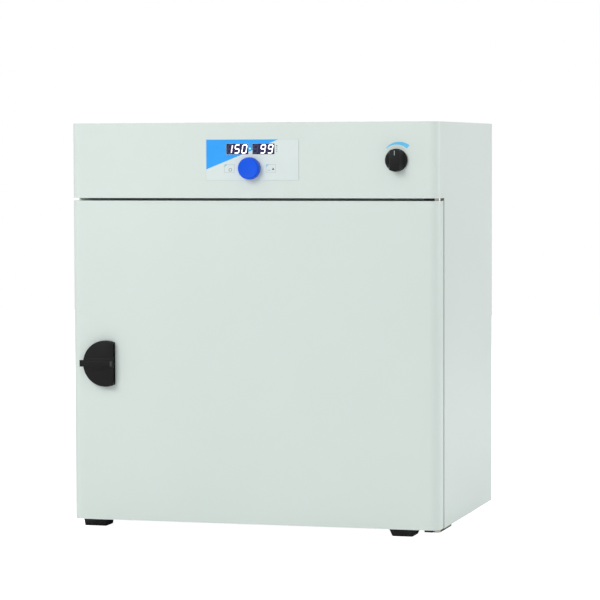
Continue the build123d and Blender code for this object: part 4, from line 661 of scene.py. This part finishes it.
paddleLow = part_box("handle_paddle")[0]
armatureLow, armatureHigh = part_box("latch_armature")
pivotX, pivotY, handleZ = joints["handle_pivot"]["pos_m"]
handleX = paddleLow.x + handle["tabReach"] + handle["radius"]
chordX = handleX + handle["chord"]
handleY = fasciaY - handle["stand"]
rimY = handleY + handle["skirt"]

plate = addRound("handlePlate", handle["radius"], handleY, rimY, handleX, handleZ, 160)
cutAlong(plate, (chordX, 0, 0), (1, 0, 0))
bevelEdges(plate, lambda a, b: abs(a.x - chordX) < 1e-6 and abs(b.x - chordX) < 1e-6
           and abs(a.z - b.z) < 1e-6, handle["corner"], 8)
bevelEdges(plate, lambda a, b: abs(a.y - handleY) < 1e-6 and abs(b.y - handleY) < 1e-6, handle["edge"], 4)
hollow = addRound("hollowCutter", handle["radius"] - handle["wall"], handleY + handle["wall"], rimY + mm,
                  handleX, handleZ, 160)
subtract(plate, hollow)
finishPiece(plate, "handle", finishes["black"], ["handle_paddle"], smooth=40)


def frontEdges(faceY):
    # a test for the edges in front of a face
    return lambda a, b: a.y < faceY and b.y < faceY


rib = addBlock("handleRib",
               (handleX - handle["radius"] + handle["ribStart"], handleY - handle["ribRise"],
                handleZ - handle["ribHalf"]),
               (chordX - handle["ribStop"], handleY + mm, handleZ + handle["ribHalf"]))
bevelEdges(rib, frontEdges(handleY), handle["ribEdge"], 3)
finishPiece(rib, "handle", finishes["black"])
bar = addBlock("handleBar",
               (handleX - handle["radius"] - handle["tabReach"], handleY - handle["barRise"],
                handleZ - handle["barHalf"]),
               (chordX - handle["barStop"], handleY + handle["tabDepth"], handleZ + handle["barHalf"]))
bevelEdges(bar, frontEdges(handleY), handle["barEdge"], 4)
finishPiece(bar, "handle", finishes["black"])
barFace = handleY - handle["barRise"]
endHalf = handle["barHalf"] - handle["endInset"]
# small pad at the bar's right end in a lighter black: a painted highlight on the lit end face
barEnd = addBlock("handleBarEnd",
                  (chordX - handle["endStart"], barFace - handle["endRise"], handleZ - endHalf),
                  (chordX - handle["endStop"], barFace + handle["endSunk"], handleZ + endHalf))
bevelEdges(barEnd, frontEdges(barFace), handle["endEdge"], 2)
finishPiece(barEnd, "handle", finishes["paintedHighlightBlack"])

arm = addBlock("handleArm",
               (pivotX - handle["armThick"], pivotY, handleZ - handle["armHalf"]),
               (pivotX + handle["armThick"], armatureLow.y, handleZ + handle["armHalf"]))
hub = addBlock("handleHub",
               (pivotX - handle["hubThick"], handleY + handle["wall"] - handle["hubSunk"],
                handleZ - handle["hubHalf"]),
               (pivotX + handle["hubThick"], pivotY + handle["hubThick"], handleZ + handle["hubHalf"]))
armFoot = addBlock("handleArmFoot",
                   (pivotX - handle["armThick"], armatureLow.y - handle["armFoot"],
                    handleZ - handle["armHalf"]),
                   (armatureHigh.x, armatureLow.y, handleZ + handle["armHalf"]))
for piece in (arm, hub, armFoot):
    bevelEdges(piece, lambda a, b: abs(a.x - b.x) < 1e-7 and abs(a.y - b.y) < 1e-7, handle["armEdge"], 3)
    finishPiece(piece, "handle", finishes["black"])

print("stage: pull handle")


# Moulded feet, tapered down to a hollow sole

foot = {"top": 15.0 * mm, "soleShare": 34 / 48, "rim": 4.0 * mm, "hollow": 1.5 * mm, "edge": 1.2 * mm}
for index, (low, high) in enumerate(islandBoxes("feet")):
    pad = addBlock(f"foot{index}", low, (high.x, high.y, foot["top"]))
    wide = (high.x - low.x) > (high.y - low.y)
    shrink = (foot["soleShare"], 1, 1) if wide else (1, foot["soleShare"], 1)
    selectParts(pad, faces=lambda centre, normal: normal.z < -0.9)
    bpy.ops.transform.resize(value=shrink, center_override=((low.x + high.x) / 2, (low.y + high.y) / 2, 0))
    bpy.ops.mesh.inset(thickness=foot["rim"])
    bpy.ops.transform.translate(value=(0, 0, foot["hollow"]))
    leaveEdit()
    bevelEdges(pad, lambda a, b: min(a.z, b.z) > 0.1 * mm or (a.z < 1e-6 and b.z < 1e-6), foot["edge"], 3)
    finishPiece(pad, "case", finishes["foot"], ["feet"])


# Rear screws with a cross recess

screw = {
    "rings": [(4.0, -1.0), (4.0, 0.5), (3.7, 1.1), (3.0, 1.6), (2.0, 1.9), (0.5, 2.0)],  # mm, off the panel
    "slotLong": 2.0 * mm,
    "slotShort": 0.4 * mm,
    "slotFloor": 0.7 * mm,
    "slotClear": 3.0 * mm,
}
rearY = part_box("side_panel_left")[1].y
for index, (low, high) in enumerate(islandBoxes("case_screws")):
    x, z = (low.x + high.x) / 2, (low.z + high.z) / 2
    rings = [(radius * mm, rearY + off * mm) for radius, off in screw["rings"]]
    head = turned(f"rearScrew{index}", rings, x, z, 32)
    long, short = screw["slotLong"], screw["slotShort"]
    for halfX, halfZ in ((long, short), (short, long)):
        slot = addBlock("recessCutter", (x - halfX, rearY + screw["slotFloor"], z - halfZ),
                        (x + halfX, rearY + screw["slotClear"], z + halfZ))
        subtract(head, slot)
    finishPiece(head, "case", finishes["turnedSteel"], ["case_screws"])

print("stage: feet and screws")


# Floor, lamps and camera

studio = {"floorSize": 12, "floorLow": 0.86, "floorHigh": 0.90, "floorRoughness": 0.8,
          "ambient": 0.55, "seen": 1.0}
deselectAll()
bpy.ops.mesh.primitive_plane_add(size=studio["floorSize"])
floor = newPiece("floor")
floorMaterial, floorTree, floorShader, floorPlace = startMaterial("paleFloor")
floorClouds = grain(floorTree, floorPlace, 2, detail=2)
floorTree.links.new(ramp(floorTree, floorClouds, studio["floorLow"], studio["floorHigh"]),
                    floorShader.inputs["Base Color"])
floorShader.inputs["Roughness"].default_value = studio["floorRoughness"]
floorGlow = floorTree.nodes.new("ShaderNodeEmission")
floorGlow.inputs["Color"].default_value = (1, 1, 1, 1)
floorRay = floorTree.nodes.new("ShaderNodeLightPath")
floorSum = floorTree.nodes.new("ShaderNodeAddShader")
floorTree.links.new(floorShader.outputs["BSDF"], floorSum.inputs[0])
floorTree.links.new(floorGlow.outputs["Emission"], floorSum.inputs[1])
floorTree.links.new(floorRay.outputs["Is Camera Ray"], floorGlow.inputs["Strength"])
floorTree.links.new(floorSum.outputs["Shader"], floorTree.nodes["Material Output"].inputs["Surface"])
floor.data.materials.append(floorMaterial)

world = bpy.data.worlds.new("studio")
bpy.context.scene.world = world
world.use_nodes = True
worldTree = world.node_tree
background = worldTree.nodes["Background"]
background.inputs["Color"].default_value = (1, 1, 1, 1)
worldRay = worldTree.nodes.new("ShaderNodeLightPath")
seen = worldTree.nodes.new("ShaderNodeMath")
seen.operation = "MAXIMUM"
worldTree.links.new(worldRay.outputs["Is Camera Ray"], seen.inputs[0])
worldTree.links.new(worldRay.outputs["Is Transmission Ray"], seen.inputs[1])
level = worldTree.nodes.new("ShaderNodeMapRange")
level.inputs["To Min"].default_value = studio["ambient"]
level.inputs["To Max"].default_value = studio["seen"]
worldTree.links.new(seen.outputs["Value"], level.inputs["Value"])
worldTree.links.new(level.outputs["Result"], background.inputs["Strength"])


def areaLamp(name, place, target, size, power):
    deselectAll()
    bpy.ops.object.light_add(type="AREA", location=place)
    lamp = bpy.context.object
    lamp.name = name
    lamp.data.shape = "SQUARE"
    lamp.data.size = size
    lamp.data.energy = power
    lamp.rotation_euler = (Vector(target) - Vector(place)).to_track_quat("-Z", "Y").to_euler()


lamps = [  # name, place, target, size in metres, watts
    ("keyLamp", (-1.6, -3.6, 2.6), (0, 0, 0.35), 2.4, 88),
    ("fillLamp", (3.2, 0.8, 1.4), (0.2, 0, 0.35), 2.2, 40),
    ("rearLamp", (-1.2, 3.4, 2.2), (0, 0.1, 0.35), 2.2, 40),
]
for lampSettings in lamps:
    areaLamp(*lampSettings)

cameraSet = {"place": (1.2997, -4.5976, 0.6316), "turn": 15.552, "tilt": 3.018, "roll": -0.1676,
             "lens": 164.91}
turn, tilt, roll = (math.radians(cameraSet[key]) for key in ("turn", "tilt", "roll"))
forward = Vector((-math.sin(turn) * math.cos(tilt), math.cos(turn) * math.cos(tilt), -math.sin(tilt)))
right = Vector((math.cos(turn), math.sin(turn), 0))
up = right.cross(forward)
rolledRight = math.cos(roll) * right + math.sin(roll) * up
rolledUp = math.cos(roll) * up - math.sin(roll) * right
cameraData = bpy.data.cameras.new("camera")
cameraData.lens = cameraSet["lens"]
cameraData.sensor_width = 36
camera = bpy.data.objects.new("camera", cameraData)
bpy.context.scene.collection.objects.link(camera)
camera.matrix_world = Matrix.Translation(cameraSet["place"]) @ Matrix(
    (rolledRight, rolledUp, -forward)).transposed().to_4x4()
bpy.context.scene.camera = camera
bpy.context.scene.view_settings.view_transform = "Standard"

print("stage: floor, lamps and camera")
